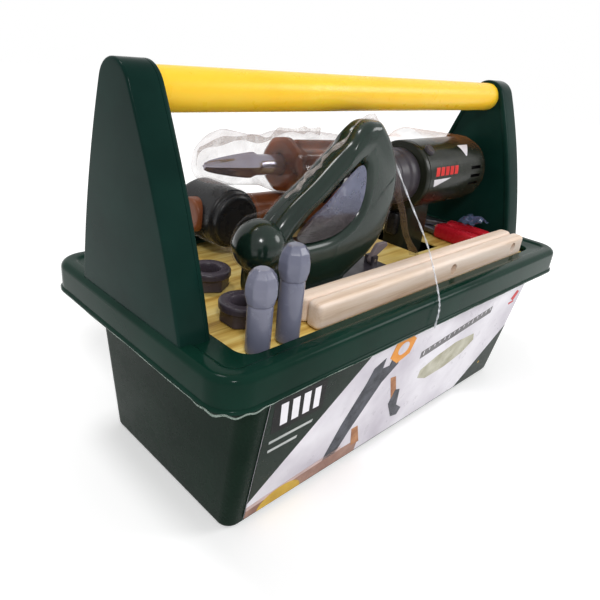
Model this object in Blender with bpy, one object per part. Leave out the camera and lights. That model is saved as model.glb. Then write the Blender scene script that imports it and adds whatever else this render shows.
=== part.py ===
# Toy tool box: an open moulded bin with a carry bar between two uprights,
# and the toy tools that stand in it on a card insert.
# X runs along the carry bar, -Y is the front with the label, Z is up.
# The origin is the middle of the underside. All lengths are in metres.

import math

import bmesh
import bpy
import numpy as np

GAP = 0.0003                  # clearance between pieces that touch
OVERRUN = 0.006               # how far a cutter runs past what it cuts
SIDES = 24                    # sides of a round piece
FINE_SIDES = 32               # sides of a large round piece
SMALL_SIDES = 12              # sides of a pin or a screw
CORNER_STEPS = 5              # steps round a rounded corner
EDGE_STEPS = 2                # steps round a small edge
ROUND_STEPS = 3               # steps round a large edge
OUTLINE_STEPS = 2             # curve steps between two outline points
HEXAGON_SIDES = 6
EDGE_CLOSE_SHARE = 0.9        # how far a box's corners close in its rounded edges
KNOB_STEPS = 12               # rings from pole to pole of the plane's knob
SMOOTH_ANGLE = math.radians(35)

# The tub, and the frame that snaps over its lip and hangs over its inside
RIM_LENGTH = 0.340
RIM_WIDTH = 0.1735
RIM_HEIGHT = 0.118
RIM_PLATE = 0.0025
RIM_CORNER = 0.018
RIM_EDGE = 0.0040             # rounding between the rim's top and its skirt
BEAD_RISE = 0.0012            # the raised outer edge of the rim
BEAD_WIDTH = 0.0050
SKIRT_DEPTH = 0.018
SKIRT_WALL = 0.0022
SKIRT_LIP = 0.0010
SKIRT_LIP_HEIGHT = 0.0022
END_RAIL = 0.0242             # from the rim's end to the opening
SIDE_RAIL = 0.01725           # from the rim's side to the opening
OPENING_CORNER = 0.009
TUB_TOP_CORNER = 0.010
TUB_TOP_SETBACK = 0.00675     # from the rim's side to the tub's outer wall
TUB_LIP = 0.0028              # how far the lip stands out under the frame
TUB_LIP_THICKNESS = 0.0020
END_TAPER = 0.0030            # how far each end wall slopes in towards the base
SIDE_TAPER = 0.0181           # and each side wall
BASE_CORNER = 0.008
BASE_EDGE = 0.0030
TUB_WALL = 0.0022
TUB_FLOOR = 0.0025

# The uprights and the carry bar
UPRIGHT_SETBACK = 0.0035      # from the rim's end to the upright's outer face
UPRIGHT_DEPTH = 0.0174
UPRIGHT_FOOT = 0.096
UPRIGHT_HEIGHT = 0.1182
UPRIGHT_LEAN = 0.0026         # how far the top leans outwards
FOOT_RECESS = 0.0006          # how deep each foot stands in the frame
UPRIGHT_TOP_RADIUS = 0.0140
UPRIGHT_SIDE_ANGLE = math.radians(24)     # the sides' slope at the round top
UPRIGHT_CURVE_SHARE = 0.48    # share of the height that leads the side's curve
UPRIGHT_WALL = 0.0020
UPRIGHT_EDGE = 0.0012
COVER_THICKNESS = 0.0026
BAR_RADIUS = 0.0102
BAR_WALL = 0.0020
BAR_DROP = 0.0125             # from the upright's top to the bar's axis
UPRIGHT_STEPS = 7
SCREW_SPACING = 0.050
SCREW_RADIUS = 0.0014
SCREW_HEAD_RADIUS = 0.0030
SCREW_HEAD_HEIGHT = 0.0018
SCREW_GRIP = 0.0060           # how far a screw reaches into the upright

# The label on the front wall and the card insert
LABEL_LEFT_SPACE = 0.011      # from the base's end to the label
LABEL_RIGHT_SPACE = 0.008
LABEL_FOOT = 0.0045
LABEL_HEAD_SPACE = 0.0030     # from the label to the rim's skirt
LABEL_THICKNESS = 0.0005
CARD_DROP = 0.0050            # from the rim's flat top to the card's top
CARD_THICKNESS = 0.0010
SLOT_FRONT = 0.013            # free space in front of the drill's grip
SLOT_BACK = 0.017

# Power plane: it stands on its shoe, its middle plane parallel to XZ
PLANE_SPACE = 0.024           # from the strips' back to the plane's middle
PLANE_KNOB_SETBACK = 0.071    # from the rim's left end to the knob's middle
PLANE_KNOB_RADIUS = 0.0148
PLANE_KNOB_RISE = 0.0339      # from the shoe's underside to the knob's middle
PLANE_LENGTH = 0.1062         # from the knob's middle to the rear of the loop
PLANE_HEIGHT = 0.0949         # from the shoe to the top of the loop
PLANE_HALF = 0.0095
PLANE_EDGE = 0.0060
PLANE_STEPS = 4               # curve steps between two outline points
PLANE_RINGS = 3               # rings of the rounding on each side
SHOE_THICKNESS = 0.0030
SHOE_FRONT = 0.024            # from the knob's middle to the shoe's front end
SHOE_LENGTH = 0.087
SHOE_WIDTH = 0.033
SHOE_CORNER = 0.006
DRUM_RADIUS = 0.0048
DRUM_HALF = 0.0060
DRUM_SETBACK = 0.051          # from the knob's middle to the drum
DRUM_BLADES = 2
DRUM_BLADE_SHARE = 0.12
DRUM_AXLE_RADIUS = 0.0012
DRUM_AXLE_HALF = 0.0078
DRUM_ROOM = 0.0010            # running room round the cutter drum
PORT_SETBACK = 0.0255         # from the knob's middle to the port
PORT_WIDTH = 0.012
PORT_HEIGHT = 0.010
PORT_FOOT = 0.0085            # from the shoe to the port
PORT_DEPTH = 0.0050
LEVER_SETBACK = 0.0085        # from the shoe's rear end to the lever's pin
LEVER_THICKNESS = 0.0030
LEVER_WIDTH = 0.0130
LEVER_HEIGHT = 0.0105
LEVER_RAKE = 0.0080
LEVER_FOOT = 0.0030
LEVER_FOOT_ANGLES = (150, 195, 235, 270, 305, 345, 390)
LEVER_PIN_RADIUS = 0.0011
LEVER_EAR = 0.0020
LEVER_EAR_WIDTH = 0.0050
PLANE_TRIGGER_WIDTH = 0.0090
PLANE_TRIGGER_LENGTH = 0.0200
PLANE_TRIGGER_HEIGHT = 0.0070
PLANE_TRIGGER_OUT = 0.0040    # how far it stands out of the grip
PLANE_TRIGGER_ROOM = 0.0035   # depth of the pocket behind it

# The plane's outline, as shares of its length and height, and its finger loop
PLANE_OUTLINE_SHARES = (
    (-0.009, 0.000), (-0.042, 0.038), (-0.052, 0.112), (-0.052, 0.185), (-0.047, 0.259),
    (0.028, 0.407), (0.080, 0.483), (0.173, 0.569), (0.307, 0.668), (0.441, 0.784),
    (0.556, 0.879), (0.607, 0.946), (0.673, 0.992), (0.739, 1.000), (0.800, 0.981),
    (0.918, 0.837), (0.986, 0.687), (1.000, 0.549), (0.987, 0.436), (0.935, 0.272),
    (0.829, 0.154), (0.684, 0.064), (0.603, 0.019), (0.556, 0.000), (0.085, 0.000))
PLANE_LOOP_SHARES = (
    (0.179, 0.370), (0.252, 0.454), (0.386, 0.554), (0.520, 0.670), (0.603, 0.739),
    (0.659, 0.749), (0.692, 0.691), (0.702, 0.565), (0.669, 0.449), (0.584, 0.365),
    (0.471, 0.317), (0.348, 0.307), (0.245, 0.317))
PLANE_LOW_SHARE = 0.35        # below this share of the height edges are tighter
PLANE_FOOT_EDGE_SHARE = 0.32  # the rounding at the foot as a share of the rest
PLANE_TRIGGER_PLACE_SHARES = (0.461, 0.617)
PLANE_GRIP_SLOPE = math.radians(38)
KNOB_PEG_RADIUS = 0.0030
KNOB_PEG_RISE = 0.0030        # from the shoe to the end of the knob's peg

# Drill: its barrel lies along X and its grip goes down through the card
DRILL_SPACE = 0.025           # from the plane's middle to the barrel's axis
DRILL_AXIS_RISE = 0.0542      # from the card's top to the barrel's axis
DRILL_RADIUS = 0.0250
DRILL_SETBACK = 0.0245        # from the rim's right end to the barrel
DRILL_LENGTH = 0.0915
DRILL_REAR_ROUND = 0.011
DRILL_FRONT_ROUND = 0.0020
GEARCASE_LENGTH = 0.0315
GEARCASE_NOSE_RADIUS = 0.0175
GEARCASE_REAR_RADIUS = 0.0200
GEARCASE_REAR_SHARE = 0.33    # shares of its length where its shape changes
GEARCASE_NOSE_SHARE = 0.80
CHUCK_LENGTH = 0.0225
CHUCK_RADIUS = 0.0115
CHUCK_NOSE_RADIUS = 0.0060
CHUCK_RIB_SHARE = 0.10
CHUCK_GRIP_SHARE = 0.55       # the ribbed share of its length
CHUCK_SHOULDER_SHARE = 0.62
CHUCK_RIBS = 8
BIT_RADIUS = 0.0030
BIT_LENGTH = 0.046
BIT_FLUTES = 2
BIT_FLUTE_SHARE = 0.35
SPINDLE_RADIUS = 0.0035
MOTOR_RADIUS = 0.0150
MOTOR_LENGTH = 0.048
MOTOR_SETBACK = 0.006         # from the barrel's front to the motor
GRIP_SETBACK = 0.006          # from the barrel's front to the grip
GRIP_WIDTH = 0.030
GRIP_HALF = 0.0110
GRIP_DEPTH = 0.047            # from the barrel's underside to the grip's end
GRIP_EDGE = 0.0050
GRIP_FOOT = 0.0030            # rounding at the grip's lower end
DRILL_TRIGGER_HEIGHT = 0.017
DRILL_TRIGGER_DEPTH = 0.0100
DRILL_TRIGGER_OUT = 0.0050
DRILL_TRIGGER_HALF = 0.0045
DRILL_TRIGGER_EDGE = 0.0015
DRILL_TRIGGER_DROP = 0.0035   # below the barrel
DRILL_TRIGGER_ROOM = 0.0050
BUTTON_RADIUS = 0.0040
BUTTON_HEIGHT = 0.0050
BUTTON_OUT = 0.0025
BUTTON_EDGE = 0.0010
BUTTON_SETBACK = 0.0110
BUTTON_ANGLE = math.radians(127)
BUTTON_ROOM = 0.0025
VENT_COUNT = 3
VENT_LENGTH = 0.014
VENT_WIDTH = 0.0024
VENT_PITCH = 0.0062
VENT_DEPTH = 0.0030
VENT_SETBACK = 0.030          # from the barrel's rear end to the vents

# Mallet and screwdriver: the mallet's head lies on the rim's raised edge, its
# handle slopes down to the rim, and the screwdriver lies along the handle
MALLET_END_SPACE = 0.104      # from the rim's left end to the mallet's eye
MALLET_BACK_SPACE = 0.02475   # from the rim's back to the mallet's handle
MALLET_HEAD_RADIUS = 0.0195
MALLET_HEAD_HALF = 0.0240
MALLET_FACE_RADIUS = 0.0170
MALLET_FACE_LENGTH = 0.0050
MALLET_NECK_RADIUS = 0.0115
MALLET_GRIP_RADIUS = 0.0150
MALLET_NECK_LENGTH = 0.0750
MALLET_GRIP_LENGTH = 0.0450
DRIVER_OFFSET = 0.007         # how far it lies in front of the mallet's handle
DRIVER_REACH = 0.1035         # from the mallet's head to the screwdriver's rear end
DRIVER_RADIUS = 0.0180
DRIVER_HANDLE_LENGTH = 0.058
DRIVER_COLLAR_RADIUS = 0.0192
DRIVER_COLLAR_LENGTH = 0.0080
DRIVER_RIBS = 8
DRIVER_RIB_SHARE = 0.12
SHANK_RADIUS = 0.0070
SHANK_LENGTH = 0.018
SHANK_DEPTH = 0.034           # how far the shank sits in the handle
TIP_RADIUS = 0.0086
TIP_LENGTH = 0.045
TIP_FLUTES = 4
# the tip's length, radius and flute depth at each ring, as shares
TIP_SHARES = ((0.20, 1.00, 0.13), (0.45, 1.00, 0.20), (0.82, 0.55, 0.40), (1.00, 0.26, 0.40))

# Pliers, flat on the card under the drill's barrel
PLIERS_SETBACK = 0.050        # from the rim's right end to the pivot
PLIERS_SPACE = 0.0030         # from the strips' back to the handles' ends
PLIERS_LAYER = 0.0040
PLIERS_HANDLE_SHARE = 0.524   # a handle's share of the room behind the strips
PLIERS_PIN_RADIUS = 0.0022
PLIERS_PIN_HEAD = 0.0040
PLIERS_PIN_HEAD_HEIGHT = 0.0010
PLIERS_GRIP_EDGE = 0.0012
PLIERS_GRIP_SKIN = 0.0015     # the grips' thickness under and over the tangs
PLIERS_HALF_SHARES = (
    (0.012, 0.520), (0.110, 0.500), (0.160, 0.230), (0.150, 0.020),
    (0.070, -0.130), (-0.020, -0.290), (-0.085, -0.480), (-0.115, -0.700),
    (-0.110, -0.930), (-0.185, -0.930), (-0.205, -0.700), (-0.185, -0.450),
    (-0.150, -0.240), (-0.145, -0.100), (-0.140, 0.030), (-0.090, 0.140),
    (0.008, 0.190))
PLIERS_GRIP_SHARES = (
    (-0.195, -0.360), (-0.228, -0.480), (-0.248, -0.700), (-0.232, -0.940),
    (-0.185, -1.000), (-0.110, -1.000), (-0.065, -0.940), (-0.072, -0.700),
    (-0.042, -0.520), (-0.010, -0.400))

# Wooden strips, toy bolts and toy nuts
STRIP_COUNT = 2
STRIP_HEIGHT = 0.0150
STRIP_THICKNESS = 0.0102
STRIP_LEFT_SPACE = 0.0513     # from the opening's left end to the strips
STRIP_RIGHT_SPACE = 0.0073
STRIP_FRONT_SPACE = 0.0035    # from the opening's front edge to the strips
STRIP_SPACING = 0.0006
STRIP_EDGE = 0.0026
STRIP_HOLE_RADIUS = 0.0036
STRIP_HOLE_RISE = 0.0047
STRIP_HOLE_PLACE_SHARES = (0.558, 0.927)  # shares of a strip's length
BOLT_LEFT_SPACE = 0.0128      # from the opening's left end to the first bolt
BOLT_FRONT_SPACE = 0.0067     # from the opening's front edge to the bolts
BOLT_PITCH = 0.0195
BOLT_RADIUS = 0.0062
BOLT_LENGTHS = (0.0430, 0.0510)
BOLT_HEAD_RADIUS = 0.0080
BOLT_HEAD_HEIGHT = 0.0175
BOLT_FLUTES = 8
BOLT_FLUTE_SHARE = 0.10
# the head's height and radius at each ring, as shares
BOLT_HEAD_SHARES = ((0.38, 1.00), (0.55, 1.00), (0.85, 0.72), (1.00, 0.40))
BOLT_END_ROUND = 0.0012
NUT_COUNT = 2
NUT_LEFT_SPACE = 0.0273       # from the opening's left end to the first nut
NUT_FRONT_SPACE = 0.0360      # from the opening's front edge to the first nut
NUT_PITCH_X = 0.0105
NUT_PITCH_Y = 0.0449
NUT_RADIUS = 0.0130
NUT_FLANGE = 0.0042
NUT_HEIGHT = 0.0120
NUT_ACROSS = 0.0215
NUT_BORE = 0.0066
NUT_EDGE = 0.0010

# Places that follow from the sizes above
OPENING_LENGTH = RIM_LENGTH - 2 * END_RAIL
OPENING_WIDTH = RIM_WIDTH - 2 * SIDE_RAIL
TUB_TOP_LENGTH = OPENING_LENGTH + 2 * TUB_WALL
TUB_TOP_WIDTH = RIM_WIDTH - 2 * TUB_TOP_SETBACK
BASE_LENGTH = TUB_TOP_LENGTH - 2 * END_TAPER
BASE_WIDTH = TUB_TOP_WIDTH - 2 * SIDE_TAPER
LABEL_LEFT_X = LABEL_LEFT_SPACE - BASE_LENGTH / 2
LABEL_RIGHT_X = BASE_LENGTH / 2 - LABEL_RIGHT_SPACE
LABEL_HEAD = RIM_HEIGHT - SKIRT_DEPTH - LABEL_HEAD_SPACE
STRIP_LEFT_X = STRIP_LEFT_SPACE - OPENING_LENGTH / 2
STRIP_LENGTH = OPENING_LENGTH - STRIP_LEFT_SPACE - STRIP_RIGHT_SPACE
STRIP_PITCH = STRIP_THICKNESS + STRIP_SPACING
STRIPS_FRONT_Y = STRIP_FRONT_SPACE - OPENING_WIDTH / 2
STRIPS_BACK_Y = STRIPS_FRONT_Y + STRIP_COUNT * STRIP_PITCH - STRIP_SPACING
PLANE_Y = STRIPS_BACK_Y + PLANE_SPACE
PLANE_KNOB_X = PLANE_KNOB_SETBACK - RIM_LENGTH / 2
DRUM_X = PLANE_KNOB_X + DRUM_SETBACK
PORT_X = PLANE_KNOB_X + PORT_SETBACK
SHOE_REAR_X = PLANE_KNOB_X + SHOE_FRONT + SHOE_LENGTH
LEVER_X = SHOE_REAR_X - LEVER_SETBACK
DRILL_REAR_X = RIM_LENGTH / 2 - DRILL_SETBACK
DRILL_FRONT_X = DRILL_REAR_X - DRILL_LENGTH
DRILL_AXIS_Y = PLANE_Y + DRILL_SPACE
GRIP_X = DRILL_FRONT_X + GRIP_SETBACK
MALLET_X = MALLET_END_SPACE - RIM_LENGTH / 2
MALLET_Y = RIM_WIDTH / 2 - MALLET_BACK_SPACE
DRIVER_Y = MALLET_Y - DRIVER_OFFSET
PLIERS_HANDLE = PLIERS_HANDLE_SHARE * (OPENING_WIDTH / 2 - STRIPS_BACK_Y)
PLIERS_X = RIM_LENGTH / 2 - PLIERS_SETBACK
PLIERS_Y = STRIPS_BACK_Y + PLIERS_SPACE + PLIERS_HANDLE
RIM_FLAT = RIM_HEIGHT - BEAD_RISE
RIM_UNDER = RIM_FLAT - RIM_PLATE
TUB_HEIGHT = RIM_UNDER - GAP
CARD_TOP = RIM_FLAT - CARD_DROP
SEAT = CARD_TOP + GAP
UPRIGHT_FOOT_Z = RIM_FLAT - FOOT_RECESS + GAP
BAR_Z = UPRIGHT_FOOT_Z + UPRIGHT_HEIGHT - BAR_DROP
UPRIGHT_X = RIM_LENGTH / 2 - UPRIGHT_SETBACK
SHOE_TOP = SEAT + SHOE_THICKNESS
PLANE_FOOT = SHOE_TOP + GAP
KNOB_Z = SEAT + PLANE_KNOB_RISE
DRILL_Z = CARD_TOP + DRILL_AXIS_RISE
MALLET_Z = RIM_HEIGHT + GAP + MALLET_HEAD_RADIUS
MALLET_SLOPE = math.asin((BEAD_RISE + MALLET_HEAD_RADIUS - MALLET_GRIP_RADIUS)
                         / (MALLET_NECK_LENGTH + MALLET_GRIP_LENGTH))
DRIVER_REST = MALLET_GRIP_RADIUS + DRIVER_RADIUS + GAP
DRIVER_LEAN = math.asin((DRIVER_Y - MALLET_Y) / DRIVER_REST)
LEVER_PIN_Z = SHOE_TOP + GAP + LEVER_FOOT

X_AXIS = np.array((1.0, 0.0, 0.0))
Y_AXIS = np.array((0.0, 1.0, 0.0))
Z_AXIS = np.array((0.0, 0.0, 1.0))
MALLET_AXIS = np.array((math.cos(MALLET_SLOPE), 0.0, -math.sin(MALLET_SLOPE)))
MALLET_PLACE = np.array((MALLET_X, MALLET_Y, MALLET_Z))
MALLET_UP = np.cross(MALLET_AXIS, Y_AXIS)
DRIVER_PLACE = (MALLET_PLACE + MALLET_AXIS * DRIVER_REACH
                + DRIVER_REST * (Y_AXIS * math.sin(DRIVER_LEAN)
                                 + MALLET_UP * math.cos(DRIVER_LEAN)))


# Scene, materials and groups

def clear_scene():
    for thing in list(bpy.data.objects):
        bpy.data.objects.remove(thing, do_unlink=True)


def make_material(name, color, roughness, metallic=0.0):
    material = bpy.data.materials.new(name)
    material.use_nodes = True
    shader = material.node_tree.nodes["Principled BSDF"]
    shader.inputs["Base Color"].default_value = (*color, 1.0)
    shader.inputs["Roughness"].default_value = roughness
    shader.inputs["Metallic"].default_value = metallic
    material.diffuse_color = (*color, 1.0)
    return material


def make_group(name, place):
    # an empty on a joint's axis that carries the pieces of one moving body
    empty = bpy.data.objects.new(name, None)
    empty.empty_display_size = RIM_EDGE
    empty.location = place
    bpy.context.collection.objects.link(empty)
    return empty


# Meshes

def make_solid(name, rings, material, group=None, closed=False):
    # one closed body from rings of points: neighbours are bridged, a ring of
    # one point is a pole, and the end rings are capped unless it closes on itself
    origin = np.array(group.location) if group else np.zeros(3)
    mesh = bmesh.new()
    loops = [[mesh.verts.new(np.asarray(point, float) - origin) for point in ring]
             for ring in rings]
    pairs = list(zip(loops[:-1], loops[1:]))
    if closed:
        pairs.append((loops[-1], loops[0]))
    for low, high in pairs:
        for i in range(max(len(low), len(high))):
            j = i + 1
            corners = [low[i % len(low)], low[j % len(low)],
                       high[j % len(high)], high[i % len(high)]]
            mesh.faces.new(list(dict.fromkeys(corners)))
    if not closed:
        for loop in (loops[0], loops[-1]):
            if len(loop) > 2:
                mesh.faces.new(loop)
    bmesh.ops.recalc_face_normals(mesh, faces=mesh.faces)
    if mesh.calc_volume(signed=True) < 0:
        bmesh.ops.reverse_faces(mesh, faces=mesh.faces)
    data = bpy.data.meshes.new(name)
    mesh.to_mesh(data)
    mesh.free()
    data.shade_smooth()
    data.set_sharp_from_angle(angle=SMOOTH_ANGLE)
    if material:
        data.materials.append(material)
    piece = bpy.data.objects.new(name, data)
    bpy.context.collection.objects.link(piece)
    if group:
        piece.parent = group
    return piece


def make_cutter(name, rings, closed=False):
    cutter = make_solid(name, rings, None, closed=closed)
    cutter.hide_render = True
    cutter.display_type = 'WIRE'
    return cutter


def combine(piece, tool, operation):
    modifier = piece.modifiers.new(tool.name, 'BOOLEAN')
    modifier.operation = operation
    modifier.object = tool


def cut(piece, *tools):
    for tool in tools:
        combine(piece, tool, 'DIFFERENCE')


def join(piece, *tools):
    for tool in tools:
        tool.hide_render = True
        tool.display_type = 'WIRE'
        combine(piece, tool, 'UNION')


# Outlines

def circle(radius, sides, lobes=0, lobe_share=0.0, turn=0.0):
    # a round section, or one with evenly spaced grooves round it
    angles = np.arange(sides) * 2 * math.pi / sides
    dip = (1 - np.cos(angles * lobes)) / 2
    radii = radius * (1 - lobe_share * dip)
    angles = angles + turn
    return np.stack([radii * np.cos(angles), radii * np.sin(angles)], axis=1)


def hexagon(across, sides):
    # points along a hexagon's edge, at even angles
    angles = np.arange(sides) * 2 * math.pi / sides
    sector = 2 * math.pi / HEXAGON_SIDES
    turned_back = (angles + sector / 2) % sector - sector / 2
    radii = across / 2 / np.cos(turned_back)
    return np.stack([radii * np.cos(angles), radii * np.sin(angles)], axis=1)


def rounded_rectangle(half_x, half_y, corner):
    points = []
    for turn in range(4):
        side_x = 1 if turn in (0, 3) else -1
        side_y = 1 if turn in (0, 1) else -1
        for step in range(CORNER_STEPS + 1):
            angle = (turn + step / CORNER_STEPS) * math.pi / 2
            points.append((side_x * (half_x - corner) + corner * math.cos(angle),
                           side_y * (half_y - corner) + corner * math.sin(angle)))
    return np.array(points)


def smooth_loop(points, steps):
    # a closed Catmull-Rom curve through the points
    points = np.asarray(points, float)
    before, after = np.roll(points, 1, axis=0), np.roll(points, -1, axis=0)
    beyond = np.roll(points, -2, axis=0)
    share = (np.arange(steps) / steps)[None, :, None]
    start, end = points[:, None], after[:, None]
    slope_in = (after - before)[:, None] / 2
    slope_out = (beyond - points)[:, None] / 2
    curve = (start * (2 * share ** 3 - 3 * share ** 2 + 1)
             + slope_in * (share ** 3 - 2 * share ** 2 + share)
             + end * (3 * share ** 2 - 2 * share ** 3)
             + slope_out * (share ** 3 - share ** 2))
    return curve.reshape(-1, 2)


def inset(loop, distance):
    # the loop moved inwards by a distance, or by one distance for each point
    loop = np.asarray(loop, float)
    ahead = np.roll(loop, -1, axis=0) - loop
    area = np.sum(loop[:, 0] * np.roll(loop[:, 1], -1) - loop[:, 1] * np.roll(loop[:, 0], -1))
    turn = 1.0 if area > 0 else -1.0
    ahead /= np.linalg.norm(ahead, axis=1)[:, None]
    normal = turn * np.stack([-ahead[:, 1], ahead[:, 0]], axis=1)
    middle = normal + np.roll(normal, 1, axis=0)
    middle /= (1 + np.sum(normal * np.roll(normal, 1, axis=0), axis=1))[:, None]
    return loop + middle * np.broadcast_to(distance, len(loop))[:, None]


def rounding(radius, steps):
    # inset and height of each ring of a quarter round, outermost ring last
    angles = [math.pi / 2 * step / steps for step in range(steps + 1)]
    return [(radius * (1 - math.sin(angle)), radius * (1 - math.cos(angle)))
            for angle in angles]


# Ways to stand an outline in the world

def on_axis(section, origin, axis, along):
    # a section across an axis, at a distance along it
    axis = np.asarray(axis, float)
    across = Y_AXIS if abs(axis[1]) < abs(axis[0]) + abs(axis[2]) else Z_AXIS
    side = np.cross(axis, across)
    side /= np.linalg.norm(side)
    up = np.cross(side, axis)
    return [np.asarray(origin) + side * u + up * v + axis * along for u, v in section]


def turned_rings(profile, origin, axis, sides, lobes=0, turn=0.0):
    # rings of a turned shape; a profile point is a radius, a distance along the
    # axis and, for a fluted piece, the share of the radius that the flutes take
    rings = []
    for radius, along, *share in profile:
        if radius == 0:
            rings.append([np.asarray(origin) + np.asarray(axis) * along])
        else:
            section = circle(radius, sides, lobes if share else 0, share[0] if share else 0,
                             turn)
            rings.append(on_axis(section, origin, axis, along))
    return rings


def level_rings(loops, heights):
    # outlines in XY, each at its height
    return [[(x, y, z) for x, y in loop] for loop, z in zip(loops, heights)]


def side_rings(loops, places):
    # outlines in XZ, each at its place along Y
    return [[(x, y, z) for x, z in loop] for loop, y in zip(loops, places)]


def end_rings(loops, places):
    # outlines in YZ, each at its place along X
    return [[(x, y, z) for y, z in loop] for loop, x in zip(loops, places)]


def box_rings(low, high):
    loop = [(low[0], low[1]), (high[0], low[1]), (high[0], high[1]), (low[0], high[1])]
    return level_rings([loop, loop], [low[2], high[2]])


def round_box_rings(low, high, edge):
    # a box with rounded upright corners and rounded top and bottom edges
    half_x, half_y = (high[0] - low[0]) / 2, (high[1] - low[1]) / 2
    middle = np.array([(high[0] + low[0]) / 2, (high[1] + low[1]) / 2])
    loop = rounded_rectangle(half_x, half_y, edge) + middle
    steps = rounding(edge, EDGE_STEPS)
    loops = [rounded_rectangle(half_x - dip, half_y - dip, edge - dip * EDGE_CLOSE_SHARE) + middle
             for dip, _ in steps]
    heights = [low[2] + rise for _, rise in steps]
    heights += [high[2] - rise for _, rise in reversed(steps)]
    return level_rings(loops + loops[::-1], heights)


# The tub and the frame

def tub_half(height):
    # half sizes and corner radius of the tub's outer wall at a height
    share = height / TUB_HEIGHT
    half_x = (BASE_LENGTH * (1 - share) + TUB_TOP_LENGTH * share) / 2
    half_y = (BASE_WIDTH * (1 - share) + TUB_TOP_WIDTH * share) / 2
    return half_x, half_y, BASE_CORNER * (1 - share) + TUB_TOP_CORNER * share


def tub_row(height, dip):
    # a tub outline at a height, moved inwards
    half_x, half_y, corner = tub_half(height)
    return half_x - dip, half_y - dip, corner - dip, height


def make_rows(name, rows, material, closed=False):
    loops = [rounded_rectangle(*row[:-1]) for row in rows]
    return make_solid(name, level_rings(loops, [row[-1] for row in rows]), material,
                      closed=closed)


def make_tub(material):
    rows = [tub_row(rise, dip) for dip, rise in rounding(BASE_EDGE, ROUND_STEPS)]
    under_lip = TUB_HEIGHT - TUB_LIP_THICKNESS
    rows += [tub_row(under_lip, 0), tub_row(under_lip, -TUB_LIP), tub_row(TUB_HEIGHT, -TUB_LIP),
             tub_row(TUB_HEIGHT, TUB_WALL), tub_row(TUB_FLOOR + BASE_EDGE, TUB_WALL)]
    rows += [tub_row(TUB_FLOOR + rise, TUB_WALL + dip)
             for dip, rise in reversed(rounding(BASE_EDGE, EDGE_STEPS)[:-1])]
    make_rows("tub", rows, material)


def make_frame(material):
    length, width = RIM_LENGTH / 2 - SKIRT_LIP, RIM_WIDTH / 2 - SKIRT_LIP
    corner, foot = RIM_CORNER - SKIRT_LIP, RIM_HEIGHT - SKIRT_DEPTH
    edge = SKIRT_LIP
    outline = [(SKIRT_WALL, RIM_UNDER), (SKIRT_WALL, foot), (-SKIRT_LIP, foot),
               (-SKIRT_LIP, foot + SKIRT_LIP_HEIGHT / 2), (0, foot + SKIRT_LIP_HEIGHT)]
    outline += [(dip, RIM_HEIGHT - drop) for dip, drop in reversed(rounding(RIM_EDGE,
                                                                          ROUND_STEPS))]
    outline += [(RIM_EDGE + BEAD_WIDTH, RIM_HEIGHT), (RIM_EDGE + BEAD_WIDTH + BEAD_RISE, RIM_FLAT)]
    rows = [(length - dip, width - dip, corner - dip, height) for dip, height in outline]
    rows += [(OPENING_LENGTH / 2 + dip, OPENING_WIDTH / 2 + dip, OPENING_CORNER + dip,
              RIM_FLAT - drop) for dip, drop in rounding(edge, EDGE_STEPS)]
    rows.append((OPENING_LENGTH / 2, OPENING_WIDTH / 2, OPENING_CORNER, RIM_UNDER))
    frame = make_rows("top_frame", rows, material, closed=True)
    half_foot = UPRIGHT_FOOT / 2 + GAP
    for side in (-1, 1):
        near, far = sorted((side * (UPRIGHT_X - UPRIGHT_DEPTH - GAP), side * (UPRIGHT_X + GAP)))
        cut(frame, make_cutter(f"foot_recess_{'left' if side < 0 else 'right'}", box_rings(
            (near, -half_foot, RIM_FLAT - FOOT_RECESS), (far, half_foot, RIM_HEIGHT + OVERRUN))))
        for place in (-1, 1):
            cut(frame, make_screw_hole(side, place))


def screw_place(side, place):
    # the middle of a screw that holds an upright's foot to the rim
    return (side * (UPRIGHT_X - UPRIGHT_DEPTH / 2), place * SCREW_SPACING / 2)


def screw_hole_name(side, place):
    return f"screw_hole_{'left' if side < 0 else 'right'}_{'front' if place < 0 else 'back'}"


def make_screw_hole(side, place):
    x, y = screw_place(side, place)
    profile = [(SCREW_RADIUS + GAP, RIM_UNDER - OVERRUN),
               (SCREW_RADIUS + GAP, UPRIGHT_FOOT_Z + UPRIGHT_WALL + OVERRUN)]
    rings = turned_rings(profile, (x, y, 0), Z_AXIS, SMALL_SIDES)
    return make_cutter(screw_hole_name(side, place), rings)


def make_screws(material):
    for side, side_name in ((-1, "left"), (1, "right")):
        for place, place_name in ((-1, "front"), (1, "back")):
            x, y = screw_place(side, place)
            under = RIM_UNDER - GAP
            profile = [(SCREW_HEAD_RADIUS, under - SCREW_HEAD_HEIGHT),
                       (SCREW_HEAD_RADIUS, under), (SCREW_RADIUS, under),
                       (SCREW_RADIUS, UPRIGHT_FOOT_Z + SCREW_GRIP)]
            rings = turned_rings(profile, (x, y, 0), Z_AXIS, SMALL_SIDES)
            make_solid(f"{side_name}_upright_screw_{place_name}", rings, material)


def make_label(material):
    # a printed sheet that lies on the sloping front wall
    def front(height, lift):
        return -tub_half(height)[1] - lift
    rings = []
    for lift in (GAP, GAP + LABEL_THICKNESS):
        low, high = LABEL_FOOT, LABEL_HEAD
        rings.append([(x, front(z, lift), z) for x, z in
                      ((LABEL_LEFT_X, low), (LABEL_RIGHT_X, low), (LABEL_RIGHT_X, high),
                       (LABEL_LEFT_X, high))])
    make_solid("front_label", rings, material)


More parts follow.
